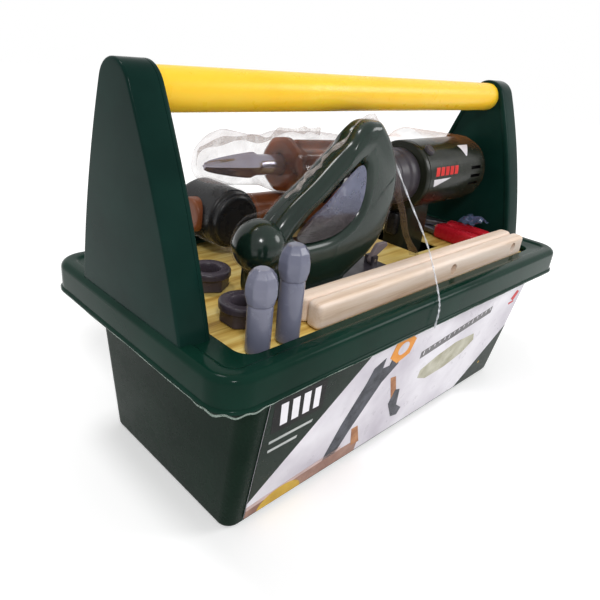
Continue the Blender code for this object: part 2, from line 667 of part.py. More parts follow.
def make_card(material):
    # it wedges where the tapering walls are as wide as it is
    loop = rounded_rectangle(*tub_row(CARD_TOP - CARD_THICKNESS, TUB_WALL + GAP)[:-1])
    card = make_solid("card_insert", level_rings([loop, loop], [CARD_TOP - CARD_THICKNESS,
                                                               CARD_TOP]), material)
    low = (GRIP_X - GAP, DRILL_AXIS_Y - GRIP_HALF - SLOT_FRONT, CARD_TOP - OVERRUN)
    high = (GRIP_X + GRIP_WIDTH + GAP, DRILL_AXIS_Y + GRIP_HALF + SLOT_BACK, CARD_TOP + OVERRUN)
    cut(card, make_cutter("card_slot", box_rings(low, high)))


# The uprights and the carry bar

def upright_outline():
    # from the front of the foot, up the bowed side, over the round top and down
    radius, angle = UPRIGHT_TOP_RADIUS, UPRIGHT_SIDE_ANGLE
    top = UPRIGHT_FOOT_Z + UPRIGHT_HEIGHT - radius
    foot = np.array((UPRIGHT_FOOT / 2, UPRIGHT_FOOT_Z))
    end = np.array((radius * math.cos(angle), top + radius * math.sin(angle)))
    lead = UPRIGHT_HEIGHT * UPRIGHT_CURVE_SHARE
    pull = end + lead * np.array((math.sin(angle), -math.cos(angle)))
    side = []
    for step in range(UPRIGHT_STEPS):
        share = step / UPRIGHT_STEPS
        side.append(foot * (1 - share) ** 2 + pull * 2 * share * (1 - share) + end * share ** 2)
    arc = []
    for step in range(UPRIGHT_STEPS + 1):
        turn = angle + (math.pi - 2 * angle) * step / UPRIGHT_STEPS
        arc.append((radius * math.cos(turn), top + radius * math.sin(turn)))
    return np.array(side + arc + [(-half, height) for half, height in reversed(side)])


def lean_at(height):
    # how far an upright stands outwards of its foot at a height
    return UPRIGHT_LEAN * (height - UPRIGHT_FOOT_Z) / UPRIGHT_HEIGHT


def upright_rings(loop, levels, side):
    # the outline at each inset and depth, leaning outwards with height
    rings = end_rings([inset(loop, dip) for dip, _ in levels],
                      [side * (UPRIGHT_X - depth) for _, depth in levels])
    return [[(x + side * lean_at(z), y, z) for x, y, z in ring] for ring in rings]


def make_upright(side, material):
    # a tray open towards the bar, and the cover that closes it
    name = "left_upright" if side < 0 else "right_upright"
    loop = upright_outline()
    cover_depth = UPRIGHT_DEPTH - COVER_THICKNESS
    seam = cover_depth - GAP
    edge = rounding(UPRIGHT_EDGE, EDGE_STEPS)
    tray = edge + [(0, seam), (UPRIGHT_WALL, seam), (UPRIGHT_WALL, UPRIGHT_WALL)]
    lid = [(0, cover_depth)] + [(dip, UPRIGHT_DEPTH - drop) for dip, drop in reversed(edge)]
    shell = make_solid(name + "_shell", upright_rings(loop, tray, side), material)
    cover = make_solid(name + "_cover", upright_rings(loop, lid, side), material)
    origin, axis = (side * (UPRIGHT_X + lean_at(BAR_Z)), 0, BAR_Z), (-side, 0, 0)
    boss_radius = BAR_RADIUS - BAR_WALL - GAP
    boss = [(boss_radius, UPRIGHT_WALL / 2), (boss_radius, cover_depth - BAR_WALL)]
    join(shell, make_solid(name + "_boss", turned_rings(boss, origin, axis, SIDES), material))
    for place in (-1, 1):
        cut(shell, bpy.data.objects[screw_hole_name(side, place)])
    hole = [(BAR_RADIUS + GAP, 0), (BAR_RADIUS + GAP, UPRIGHT_DEPTH + OVERRUN)]
    cut(cover, make_cutter(name + "_bar_hole", turned_rings(hole, origin, axis, SIDES)))


def make_bar(material):
    half = UPRIGHT_X + lean_at(BAR_Z - BAR_RADIUS) - UPRIGHT_WALL - GAP
    group = make_group("bar_axis", (0, 0, BAR_Z))
    inner = BAR_RADIUS - BAR_WALL
    profile = [(BAR_RADIUS, -half), (BAR_RADIUS, half), (inner, half), (inner, -half)]
    rings = turned_rings(profile, (0, 0, BAR_Z), X_AXIS, SIDES)
    make_solid("carry_bar", rings, material, group, closed=True)


# The power plane

def plane_loop(shares):
    points = [(PLANE_KNOB_X + along * PLANE_LENGTH, PLANE_FOOT + up * PLANE_HEIGHT)
              for along, up in shares]
    return smooth_loop(points, PLANE_STEPS)


def plane_body_rings():
    loop = plane_loop(PLANE_OUTLINE_SHARES)
    loop[:, 1] = np.maximum(loop[:, 1], PLANE_FOOT)
    height = (loop[:, 1] - PLANE_FOOT) / (PLANE_HEIGHT * PLANE_LOW_SHARE)
    fullness = PLANE_FOOT_EDGE_SHARE + (1 - PLANE_FOOT_EDGE_SHARE) * np.clip(height, 0, 1)
    levels = rounding(PLANE_EDGE, PLANE_RINGS)
    loops = [inset(loop, dip * fullness) for dip, _ in levels]
    places = [PLANE_Y - PLANE_HALF + depth for _, depth in levels]
    places += [PLANE_Y + PLANE_HALF - depth for _, depth in reversed(levels)]
    return side_rings(loops + loops[::-1], places)


def plane_loop_rings():
    # the finger loop, flared towards both sides so that the grip is round
    loop = plane_loop(PLANE_LOOP_SHARES)
    levels = rounding(PLANE_EDGE, PLANE_RINGS)
    loops = [inset(loop, -dip) for dip, _ in levels]
    places = [-PLANE_HALF + depth for _, depth in levels]
    loops = [loops[0]] + loops + loops[::-1] + [loops[0]]
    places = [-PLANE_HALF - OVERRUN] + places
    places += [-place for place in reversed(places)]
    return side_rings(loops, [PLANE_Y + place for place in places])


def tilted_box_rings(middle, along, half_length, low, high, half_width):
    # a box whose length runs along a slope in XZ and whose height is across it
    along = np.asarray(along)
    across = np.array((-along[1], along[0]))
    loop = [np.asarray(middle) + along * u + across * v
            for u, v in ((-half_length, low), (half_length, low),
                         (half_length, high), (-half_length, high))]
    return side_rings([loop, loop], [PLANE_Y - half_width, PLANE_Y + half_width])


def make_plane(group, green, dark, grey, steel):
    knob_middle = (PLANE_KNOB_X, PLANE_Y, KNOB_Z)
    slope = (math.cos(PLANE_GRIP_SLOPE), math.sin(PLANE_GRIP_SLOPE))
    share_x, share_z = PLANE_TRIGGER_PLACE_SHARES
    trigger_place = (PLANE_KNOB_X + share_x * PLANE_LENGTH, PLANE_FOOT + share_z * PLANE_HEIGHT)
    half_length = PLANE_TRIGGER_LENGTH / 2
    pocket = make_cutter("plane_trigger_pocket", tilted_box_rings(
        trigger_place, slope, half_length + GAP, -OVERRUN,
        PLANE_TRIGGER_HEIGHT + PLANE_TRIGGER_ROOM - PLANE_TRIGGER_OUT,
        PLANE_TRIGGER_WIDTH / 2 + GAP))
    finger_loop = make_cutter("plane_finger_loop", plane_loop_rings())
    clear = PLANE_KNOB_RADIUS + GAP
    knob_seat = make_cutter("plane_knob_seat", turned_rings(
        ball_profile(clear, KNOB_STEPS), knob_middle, Z_AXIS, SIDES))
    peg_hole = make_cutter("plane_peg_hole", turned_rings(
        peg_profile(GAP), knob_middle, Z_AXIS, SMALL_SIDES))
    drum_bed = [(DRUM_RADIUS + DRUM_ROOM, -DRUM_HALF - GAP),
                (DRUM_RADIUS + DRUM_ROOM, DRUM_HALF + GAP)]
    drum_place = (DRUM_X, PLANE_Y, drum_height())
    bed = make_cutter("plane_drum_bed", turned_rings(drum_bed, drum_place, Y_AXIS, SIDES))
    axle_hole = [(DRUM_AXLE_RADIUS + GAP, -DRUM_AXLE_HALF - GAP),
                 (DRUM_AXLE_RADIUS + GAP, DRUM_AXLE_HALF + GAP)]
    axle_bed = make_cutter("plane_axle_bed", turned_rings(axle_hole, drum_place, Y_AXIS,
                                                         SMALL_SIDES))
    port_low = (PORT_X - PORT_WIDTH / 2, PLANE_Y - PLANE_HALF - OVERRUN, PLANE_FOOT + PORT_FOOT)
    port_high = (PORT_X + PORT_WIDTH / 2, PLANE_Y - PLANE_HALF + PORT_DEPTH,
                 PLANE_FOOT + PORT_FOOT + PORT_HEIGHT)
    port = make_cutter("plane_port", box_rings(port_low, port_high))
    for side, name in ((-1, "plane_front_shell"), (1, "plane_back_shell")):
        shell = make_solid(name, plane_body_rings(), green, group)
        far = PLANE_Y + side * (PLANE_HALF + OVERRUN)
        near = PLANE_Y + side * GAP / 2
        reach = PLANE_LENGTH + PLANE_HEIGHT
        low = (PLANE_KNOB_X - reach, min(near, far), PLANE_FOOT - OVERRUN)
        high = (PLANE_KNOB_X + reach, max(near, far), PLANE_FOOT + reach)
        half = make_cutter(name + "_half", box_rings(low, high))
        combine(shell, half, 'INTERSECT')
        cut(shell, finger_loop, knob_seat, peg_hole, bed, axle_bed, pocket)
        if side < 0:
            cut(shell, port)

    middle = np.array((SHOE_REAR_X - SHOE_LENGTH / 2, PLANE_Y))
    loop = rounded_rectangle(SHOE_LENGTH / 2, SHOE_WIDTH / 2, SHOE_CORNER) + middle
    shoe = make_solid("plane_shoe", level_rings([loop, loop], [SEAT, SHOE_TOP]), dark, group)
    cut(shoe, make_cutter("plane_shoe_slot", box_rings(
        (DRUM_X - DRUM_RADIUS - DRUM_ROOM, PLANE_Y - DRUM_HALF - DRUM_ROOM, SEAT - OVERRUN),
        (DRUM_X + DRUM_RADIUS + DRUM_ROOM, PLANE_Y + DRUM_HALF + DRUM_ROOM,
         SHOE_TOP + OVERRUN))))
    make_lever(shoe, group, dark, grey, steel)
    return knob_middle, slope, trigger_place, drum_place


def drum_height():
    # the drum's underside is level with the shoe's
    return SEAT + GAP + DRUM_RADIUS


def ball_profile(radius, steps):
    return [(0 if step in (0, steps) else radius * math.sin(math.pi * step / steps),
             -radius * math.cos(math.pi * step / steps)) for step in range(steps + 1)]


def peg_profile(clearance):
    # the knob's peg, from inside the ball down into the body
    end = PLANE_FOOT + KNOB_PEG_RISE - KNOB_Z
    return [(KNOB_PEG_RADIUS + clearance, end - clearance), (KNOB_PEG_RADIUS + clearance, 0)]


def make_knob(group, green):
    rings = turned_rings(ball_profile(PLANE_KNOB_RADIUS, KNOB_STEPS), group.location, Z_AXIS,
                         SIDES)
    knob = make_solid("plane_knob", rings, green, group)
    join(knob, make_solid("plane_knob_peg", turned_rings(peg_profile(0), group.location, Z_AXIS,
                                                         SMALL_SIDES), green))


def make_plane_trigger(group, slope, place, dark):
    rings = tilted_box_rings(place, slope, PLANE_TRIGGER_LENGTH / 2, -PLANE_TRIGGER_OUT,
                             PLANE_TRIGGER_HEIGHT - PLANE_TRIGGER_OUT, PLANE_TRIGGER_WIDTH / 2)
    make_solid("plane_trigger", rings, dark, group)


def make_drum(group, steel, place):
    profile = [(DRUM_RADIUS, -DRUM_HALF, DRUM_BLADE_SHARE),
               (DRUM_RADIUS, DRUM_HALF, DRUM_BLADE_SHARE)]
    rings = turned_rings(profile, place, Y_AXIS, SIDES, DRUM_BLADES)
    drum = make_solid("plane_drum", rings, steel, group)
    hole = [(DRUM_AXLE_RADIUS + GAP, -DRUM_HALF - OVERRUN),
            (DRUM_AXLE_RADIUS + GAP, DRUM_HALF + OVERRUN)]
    cut(drum, make_cutter("drum_bore", turned_rings(hole, place, Y_AXIS, SMALL_SIDES)))


def make_drum_axle(group, steel, place):
    profile = [(DRUM_AXLE_RADIUS, -DRUM_AXLE_HALF), (DRUM_AXLE_RADIUS, DRUM_AXLE_HALF)]
    make_solid("plane_drum_axle", turned_rings(profile, place, Y_AXIS, SMALL_SIDES), steel,
               group)


def lever_outline():
    # a raked tab with a round foot about its pin
    pin = np.array((LEVER_X, LEVER_PIN_Z))
    foot = [pin + LEVER_FOOT * np.array((math.cos(angle), math.sin(angle)))
            for angle in np.radians(LEVER_FOOT_ANGLES)]
    top = LEVER_PIN_Z + LEVER_HEIGHT
    left = LEVER_X + LEVER_RAKE - LEVER_WIDTH / 2
    corner = LEVER_FOOT / 2
    head = [(left + LEVER_WIDTH, top - corner * 2), (left + LEVER_WIDTH, top - corner),
            (left + LEVER_WIDTH - corner, top), (left + corner * 2, top),
            (left + corner, top - corner)]
    return foot + head


def make_lever(shoe, group, dark, grey, steel):
    half = LEVER_THICKNESS / 2
    for side in (-1, 1):
        inner = PLANE_Y + side * (half + GAP)
        outer = PLANE_Y + side * (half + GAP + LEVER_EAR)
        ear = make_solid(f"lever_ear_{'front' if side < 0 else 'back'}", box_rings(
            (LEVER_X - LEVER_EAR_WIDTH / 2, min(inner, outer), SHOE_TOP - SHOE_THICKNESS / 2),
            (LEVER_X + LEVER_EAR_WIDTH / 2, max(inner, outer), LEVER_PIN_Z + LEVER_FOOT)),
            dark)
        join(shoe, ear)
    reach = half + GAP + LEVER_EAR
    place = (LEVER_X, PLANE_Y, LEVER_PIN_Z)
    hole = [(LEVER_PIN_RADIUS + GAP, -reach - OVERRUN), (LEVER_PIN_RADIUS + GAP, reach + OVERRUN)]
    pin_hole = make_cutter("lever_pin_hole", turned_rings(hole, place, Y_AXIS, SMALL_SIDES))
    cut(shoe, pin_hole)
    pin = [(LEVER_PIN_RADIUS, -reach), (LEVER_PIN_RADIUS, reach)]
    make_solid("plane_lever_pin", turned_rings(pin, place, Y_AXIS, SMALL_SIDES), steel, group)
    lever_group = make_group("lever_axis", place)
    loop = lever_outline()
    lever = make_solid("plane_lever", side_rings([loop, loop], [PLANE_Y - half, PLANE_Y + half]),
                       grey, lever_group)
    cut(lever, pin_hole)


# The drill

def barrel_profile():
    profile = [(0, 0), (DRILL_RADIUS - DRILL_FRONT_ROUND, 0), (DRILL_RADIUS, DRILL_FRONT_ROUND)]
    for dip, back in reversed(rounding(DRILL_REAR_ROUND, ROUND_STEPS)):
        profile.append((DRILL_RADIUS - dip, DRILL_LENGTH - back))
    return profile + [(0, DRILL_LENGTH)]


def grip_rings():
    # the grip goes down from inside the barrel to a rounded foot
    top, foot = DRILL_Z - DRILL_RADIUS / 2, DRILL_Z - DRILL_RADIUS - GRIP_DEPTH
    middle = np.array((GRIP_X + GRIP_WIDTH / 2, DRILL_AXIS_Y))
    levels = [(0, top)] + [(dip, foot + rise)
                           for dip, rise in reversed(rounding(GRIP_FOOT, EDGE_STEPS))]
    loops = [rounded_rectangle(GRIP_WIDTH / 2 - dip, GRIP_HALF - dip, GRIP_EDGE - dip) + middle
             for dip, _ in levels]
    return level_rings(loops, [height for _, height in levels])


def make_drill(group, green, dark, steel):
    axis_place = (DRILL_FRONT_X, DRILL_AXIS_Y, DRILL_Z)
    bore = [(0, 0 - OVERRUN), (SPINDLE_RADIUS + GAP, -OVERRUN),
            (SPINDLE_RADIUS + GAP, MOTOR_SETBACK - GAP),
            (MOTOR_RADIUS + GAP, MOTOR_SETBACK - GAP),
            (MOTOR_RADIUS + GAP, MOTOR_SETBACK + MOTOR_LENGTH + GAP),
            (0, MOTOR_SETBACK + MOTOR_LENGTH + GAP)]
    motor_bed = make_cutter("drill_motor_bed", turned_rings(bore, axis_place, X_AXIS, SIDES))
    trigger_low, trigger_high = drill_trigger_box()
    pocket = make_cutter("drill_trigger_pocket", box_rings(
        (trigger_low[0] - OVERRUN, trigger_low[1] - GAP, trigger_low[2] - GAP),
        (trigger_high[0] + DRILL_TRIGGER_ROOM, trigger_high[1] + GAP, trigger_high[2] + GAP)))
    out = button_direction()
    seat = [(BUTTON_RADIUS + GAP, DRILL_RADIUS + BUTTON_OUT - BUTTON_HEIGHT - BUTTON_ROOM),
            (BUTTON_RADIUS + GAP, DRILL_RADIUS + OVERRUN)]
    button_place = (DRILL_FRONT_X + BUTTON_SETBACK, DRILL_AXIS_Y, DRILL_Z)
    button_seat = make_cutter("drill_button_seat", turned_rings(seat, button_place, out,
                                                               SMALL_SIDES))
    reach = DRILL_RADIUS + GRIP_DEPTH + OVERRUN
    for side, name in ((-1, "drill_front_shell"), (1, "drill_back_shell")):
        shell = make_solid(name, turned_rings(barrel_profile(), axis_place, X_AXIS,
                                              FINE_SIDES), green, group)
        join(shell, make_solid(name + "_grip", grip_rings(), green))
        near = DRILL_AXIS_Y + side * GAP / 2
        far = DRILL_AXIS_Y + side * (DRILL_RADIUS + OVERRUN)
        half = make_cutter(name + "_half", box_rings(
            (DRILL_FRONT_X - OVERRUN, min(near, far), DRILL_Z - reach),
            (DRILL_REAR_X + OVERRUN, max(near, far), DRILL_Z + reach)))
        combine(shell, half, 'INTERSECT')
        for vent in range(VENT_COUNT):
            rise = (vent - (VENT_COUNT - 1) / 2) * VENT_PITCH
            edge = DRILL_AXIS_Y + side * (DRILL_RADIUS - VENT_DEPTH)
            outside = DRILL_AXIS_Y + side * (DRILL_RADIUS + OVERRUN)
            rear = DRILL_REAR_X - VENT_SETBACK + VENT_LENGTH
            cut(shell, make_cutter(f"{name}_vent_{vent}", box_rings(
                (rear - VENT_LENGTH, min(edge, outside), DRILL_Z + rise - VENT_WIDTH / 2),
                (rear, max(edge, outside), DRILL_Z + rise + VENT_WIDTH / 2))))
        cut(shell, motor_bed, pocket)
        if side < 0:
            cut(shell, button_seat)

    motor = [(MOTOR_RADIUS, MOTOR_SETBACK), (MOTOR_RADIUS, MOTOR_SETBACK + MOTOR_LENGTH)]
    make_solid("drill_motor", turned_rings(motor, axis_place, X_AXIS, SIDES), steel, group)
    bore_radius = SPINDLE_RADIUS + GAP
    case = [(bore_radius, -GAP), (GEARCASE_REAR_RADIUS, -GAP),
            (GEARCASE_REAR_RADIUS, -GEARCASE_LENGTH * GEARCASE_REAR_SHARE),
            (GEARCASE_NOSE_RADIUS + GAP, -GEARCASE_LENGTH * GEARCASE_NOSE_SHARE),
            (GEARCASE_NOSE_RADIUS - SKIRT_LIP, -GEARCASE_LENGTH),
            (bore_radius, -GEARCASE_LENGTH)]
    make_solid("drill_gearcase", turned_rings(case, axis_place, X_AXIS, FINE_SIDES), dark,
               group, closed=True)


def make_chuck(group, dark, steel):
    # the chuck, the bit in its jaws and the spindle turn together
    front = -GEARCASE_LENGTH - GAP
    nose = front - CHUCK_LENGTH
    place = group.location
    bore = SPINDLE_RADIUS + GAP
    profile = [(bore, front), (CHUCK_RADIUS, front, CHUCK_RIB_SHARE),
               (CHUCK_RADIUS, front - CHUCK_LENGTH * CHUCK_GRIP_SHARE, CHUCK_RIB_SHARE),
               (CHUCK_RADIUS - SKIRT_LIP, front - CHUCK_LENGTH * CHUCK_SHOULDER_SHARE),
               (CHUCK_NOSE_RADIUS, nose), (bore, nose)]
    make_solid("drill_chuck", turned_rings(profile, place, X_AXIS, FINE_SIDES, CHUCK_RIBS),
               dark, group, closed=True)
    middle = front - CHUCK_LENGTH / 2
    spindle = [(SPINDLE_RADIUS, MOTOR_SETBACK - GAP * 2), (SPINDLE_RADIUS, middle)]
    make_solid("drill_spindle", turned_rings(spindle, place, X_AXIS, SMALL_SIDES), steel, group)
    tip = middle - GAP - BIT_LENGTH
    bit = [(BIT_RADIUS, middle - GAP), (BIT_RADIUS, nose - GAP),
           (BIT_RADIUS, nose - BIT_RADIUS, BIT_FLUTE_SHARE),
           (BIT_RADIUS, tip + BIT_RADIUS * 2, BIT_FLUTE_SHARE), (0, tip)]
    make_solid("drill_bit", turned_rings(bit, place, X_AXIS, SMALL_SIDES, BIT_FLUTES), steel,
               group)


def drill_trigger_box():
    top = DRILL_Z - DRILL_RADIUS - DRILL_TRIGGER_DROP
    low = (GRIP_X - DRILL_TRIGGER_OUT, DRILL_AXIS_Y - DRILL_TRIGGER_HALF,
           top - DRILL_TRIGGER_HEIGHT)
    high = (low[0] + DRILL_TRIGGER_DEPTH, DRILL_AXIS_Y + DRILL_TRIGGER_HALF, top)
    return low, high


def make_drill_trigger(group, dark):
    low, high = drill_trigger_box()
    make_solid("drill_trigger", round_box_rings(low, high, DRILL_TRIGGER_EDGE), dark, group)


def button_direction():
    return np.array((0.0, math.cos(BUTTON_ANGLE), math.sin(BUTTON_ANGLE)))


def make_button(group, dark):
    rim = DRILL_RADIUS + BUTTON_OUT
    profile = [(BUTTON_RADIUS, rim - BUTTON_HEIGHT), (BUTTON_RADIUS, rim - BUTTON_EDGE),
               (BUTTON_RADIUS - BUTTON_EDGE, rim)]
    place = (DRILL_FRONT_X + BUTTON_SETBACK, DRILL_AXIS_Y, DRILL_Z)
    make_solid("drill_button", turned_rings(profile, place, button_direction(), SMALL_SIDES),
               dark, group)


# The mallet and the screwdriver

def make_mallet(group, black, brown):
    half, face = MALLET_HEAD_HALF, MALLET_FACE_LENGTH
    profile = [(0, -half), (MALLET_FACE_RADIUS - SKIRT_LIP, -half), (MALLET_FACE_RADIUS, -half
               + SKIRT_LIP), (MALLET_FACE_RADIUS, -half + face), (MALLET_HEAD_RADIUS, -half
               + face + SKIRT_LIP), (MALLET_HEAD_RADIUS, half - face - SKIRT_LIP),
               (MALLET_FACE_RADIUS, half - face), (MALLET_FACE_RADIUS, half - SKIRT_LIP),
               (MALLET_FACE_RADIUS - SKIRT_LIP, half), (0, half)]
    head = make_solid("mallet_head", turned_rings(profile, MALLET_PLACE, Y_AXIS, SIDES), black,
                      group)
    neck = MALLET_NECK_RADIUS
    start = -MALLET_HEAD_RADIUS - BASE_EDGE
    neck_end = MALLET_NECK_LENGTH
    end = neck_end + MALLET_GRIP_LENGTH
    handle = [(0, start), (neck - SKIRT_LIP, start), (neck, start + SKIRT_LIP),
              (neck, neck_end - BASE_EDGE * 2), (MALLET_GRIP_RADIUS, neck_end),
              (MALLET_GRIP_RADIUS, end - BASE_EDGE), (MALLET_GRIP_RADIUS - BASE_EDGE, end),
              (0, end)]
    make_solid("mallet_handle", turned_rings(handle, MALLET_PLACE, MALLET_AXIS, SIDES), brown,
               group)
    reach = MALLET_HEAD_RADIUS + OVERRUN
    hole = [(neck + GAP, -reach), (neck + GAP, reach)]
    cut(head, make_cutter("mallet_eye", turned_rings(hole, MALLET_PLACE, MALLET_AXIS, SIDES)))


def make_screwdriver(group, amber, steel):
    length, collar = DRIVER_HANDLE_LENGTH, DRIVER_COLLAR_LENGTH
    rib = DRIVER_RIB_SHARE
    bore = SHANK_RADIUS + GAP
    profile = [(0, 0), (DRIVER_RADIUS - BASE_EDGE, 0, rib), (DRIVER_RADIUS, BASE_EDGE, rib),
               (DRIVER_RADIUS, length - collar - BASE_EDGE, rib),
               (DRIVER_RADIUS - BASE_EDGE, length - collar, rib),
               (DRIVER_COLLAR_RADIUS, length - collar + SKIRT_LIP, rib),
               (DRIVER_COLLAR_RADIUS, length - SKIRT_LIP, rib),
               (DRIVER_COLLAR_RADIUS - BASE_EDGE, length, rib), (bore, length),
               (bore, length - SHANK_DEPTH), (0, length - SHANK_DEPTH)]
    rings = turned_rings(profile, DRIVER_PLACE, -MALLET_AXIS, FINE_SIDES, DRIVER_RIBS,
                         -DRIVER_LEAN)
    make_solid("screwdriver_handle", rings, amber, group)
    start, end = length - SHANK_DEPTH + GAP, length + SHANK_LENGTH
    shank = [(0, start), (SHANK_RADIUS, start), (SHANK_RADIUS, end)]
    shank += [(TIP_RADIUS * radius, end + TIP_LENGTH * along, flute)
              for along, radius, flute in TIP_SHARES]
    shank.append((0, end + TIP_LENGTH))
    rings = turned_rings(shank, DRIVER_PLACE, -MALLET_AXIS, SIDES, TIP_FLUTES)
    make_solid("screwdriver_shank", rings, steel, group)


# The pliers

def pliers_points(shares, mirror):
    return np.array([(PLIERS_X + mirror * u * PLIERS_HANDLE, PLIERS_Y + v * PLIERS_HANDLE)
                     for u, v in shares])


def make_pliers_half(name, mirror, low, group, steel, red):
    loop = smooth_loop(pliers_points(PLIERS_HALF_SHARES, mirror), OUTLINE_STEPS)
    high = low + PLIERS_LAYER
    half = make_solid(name, level_rings([loop, loop], [low, high]), steel, group)
    hole = [(PLIERS_PIN_RADIUS + GAP, low - OVERRUN), (PLIERS_PIN_RADIUS + GAP, high + OVERRUN)]
    cut(half, make_cutter(name + "_hole", turned_rings(hole, (PLIERS_X, PLIERS_Y, 0), Z_AXIS,
                                                      SMALL_SIDES)))
    grip_low, grip_high = SEAT, SEAT + (PLIERS_GRIP_SKIN + PLIERS_LAYER) * 2 + GAP
    shape = smooth_loop(pliers_points(PLIERS_GRIP_SHARES, mirror), OUTLINE_STEPS)
    edge = PLIERS_GRIP_EDGE
    loops = [inset(shape, edge), shape, shape, inset(shape, edge)]
    heights = [grip_low, grip_low + edge, grip_high - edge, grip_high]
    grip = make_solid(name + "_grip", level_rings(loops, heights), red, group)
    tang = inset(loop, -GAP)
    cut(grip, make_cutter(name + "_tang", level_rings([tang, tang], [low - GAP, high + GAP])))


def make_pliers(steel, red):
    low = SEAT + PLIERS_GRIP_SKIN
    place = (PLIERS_X, PLIERS_Y, low)
    make_pliers_half("pliers_left_half", 1, low, make_group("pliers_left_axis", place), steel,
                     red)
    make_pliers_half("pliers_right_half", -1, low + PLIERS_LAYER + GAP,
                     make_group("pliers_right_axis", place), steel, red)
    top = PLIERS_LAYER * 2 + GAP * 2
    head = PLIERS_PIN_HEAD_HEIGHT
    profile = [(PLIERS_PIN_HEAD - GAP, -GAP - head), (PLIERS_PIN_HEAD, -GAP),
               (PLIERS_PIN_RADIUS, -GAP), (PLIERS_PIN_RADIUS, top), (PLIERS_PIN_HEAD, top),
               (PLIERS_PIN_HEAD - GAP, top + head)]
    make_solid("pliers_pin", turned_rings(profile, place, Z_AXIS, SMALL_SIDES), steel)


# The wooden strips, the toy bolts and the toy nuts

def make_strip(number, wood):
    front = STRIPS_FRONT_Y + number * STRIP_PITCH
    low = (STRIP_LEFT_X, front, SEAT)
    high = (STRIP_LEFT_X + STRIP_LENGTH, front + STRIP_THICKNESS, SEAT + STRIP_HEIGHT)
    group = make_group(f"strip_{number + 1}_axis", low)
    strip = make_solid(f"wood_strip_{number + 1}", round_box_rings(low, high, STRIP_EDGE), wood,
                       group)
    for hole, share in enumerate(STRIP_HOLE_PLACE_SHARES):
        place = (STRIP_LEFT_X + STRIP_LENGTH * share, front,
                 SEAT + STRIP_HOLE_RISE + STRIP_HOLE_RADIUS)
        profile = [(STRIP_HOLE_RADIUS, -OVERRUN), (STRIP_HOLE_RADIUS, STRIP_THICKNESS + OVERRUN)]
        cut(strip, make_cutter(f"strip_{number + 1}_hole_{hole}",
                               turned_rings(profile, place, Y_AXIS, SMALL_SIDES)))


def make_bolt(number, plastic):
    x = BOLT_LEFT_SPACE - OPENING_LENGTH / 2 + number * BOLT_PITCH
    y = BOLT_FRONT_SPACE - OPENING_WIDTH / 2
    shank = BOLT_LENGTHS[number] - BOLT_HEAD_HEIGHT
    profile = [(BOLT_RADIUS - BOLT_END_ROUND, 0), (BOLT_RADIUS, BOLT_END_ROUND),
               (BOLT_RADIUS, shank)]
    profile += [(BOLT_HEAD_RADIUS * radius, shank + BOLT_HEAD_HEIGHT * rise, BOLT_FLUTE_SHARE)
                for rise, radius in BOLT_HEAD_SHARES]
    group = make_group(f"bolt_{number + 1}_axis", (x, y, SEAT))
    make_solid(f"toy_bolt_{number + 1}", turned_rings(profile, (x, y, SEAT), Z_AXIS,
                                                      FINE_SIDES, BOLT_FLUTES), plastic, group)


def make_nut(number, plastic):
    x = NUT_LEFT_SPACE - OPENING_LENGTH / 2 + number * NUT_PITCH_X
    y = NUT_FRONT_SPACE - OPENING_WIDTH / 2 + number * NUT_PITCH_Y
    collar = NUT_HEIGHT - NUT_FLANGE
    sections = [(hexagon(NUT_ACROSS - NUT_EDGE, SIDES), 0), (hexagon(NUT_ACROSS, SIDES),
                NUT_EDGE), (hexagon(NUT_ACROSS, SIDES), collar),
                (circle(NUT_RADIUS, SIDES), collar),
                (circle(NUT_RADIUS, SIDES), NUT_HEIGHT - NUT_EDGE),
                (circle(NUT_RADIUS - NUT_EDGE, SIDES), NUT_HEIGHT),
                (circle(NUT_BORE + NUT_EDGE, SIDES), NUT_HEIGHT),
                (circle(NUT_BORE, SIDES), NUT_HEIGHT - NUT_EDGE), (circle(NUT_BORE, SIDES), 0)]
    loops = [section + np.array((x, y)) for section, _ in sections]
    group = make_group(f"nut_{number + 1}_axis", (x, y, SEAT))
    make_solid(f"toy_nut_{number + 1}", level_rings(loops, [SEAT + height for _, height
                                                            in sections]), plastic, group,
               closed=True)


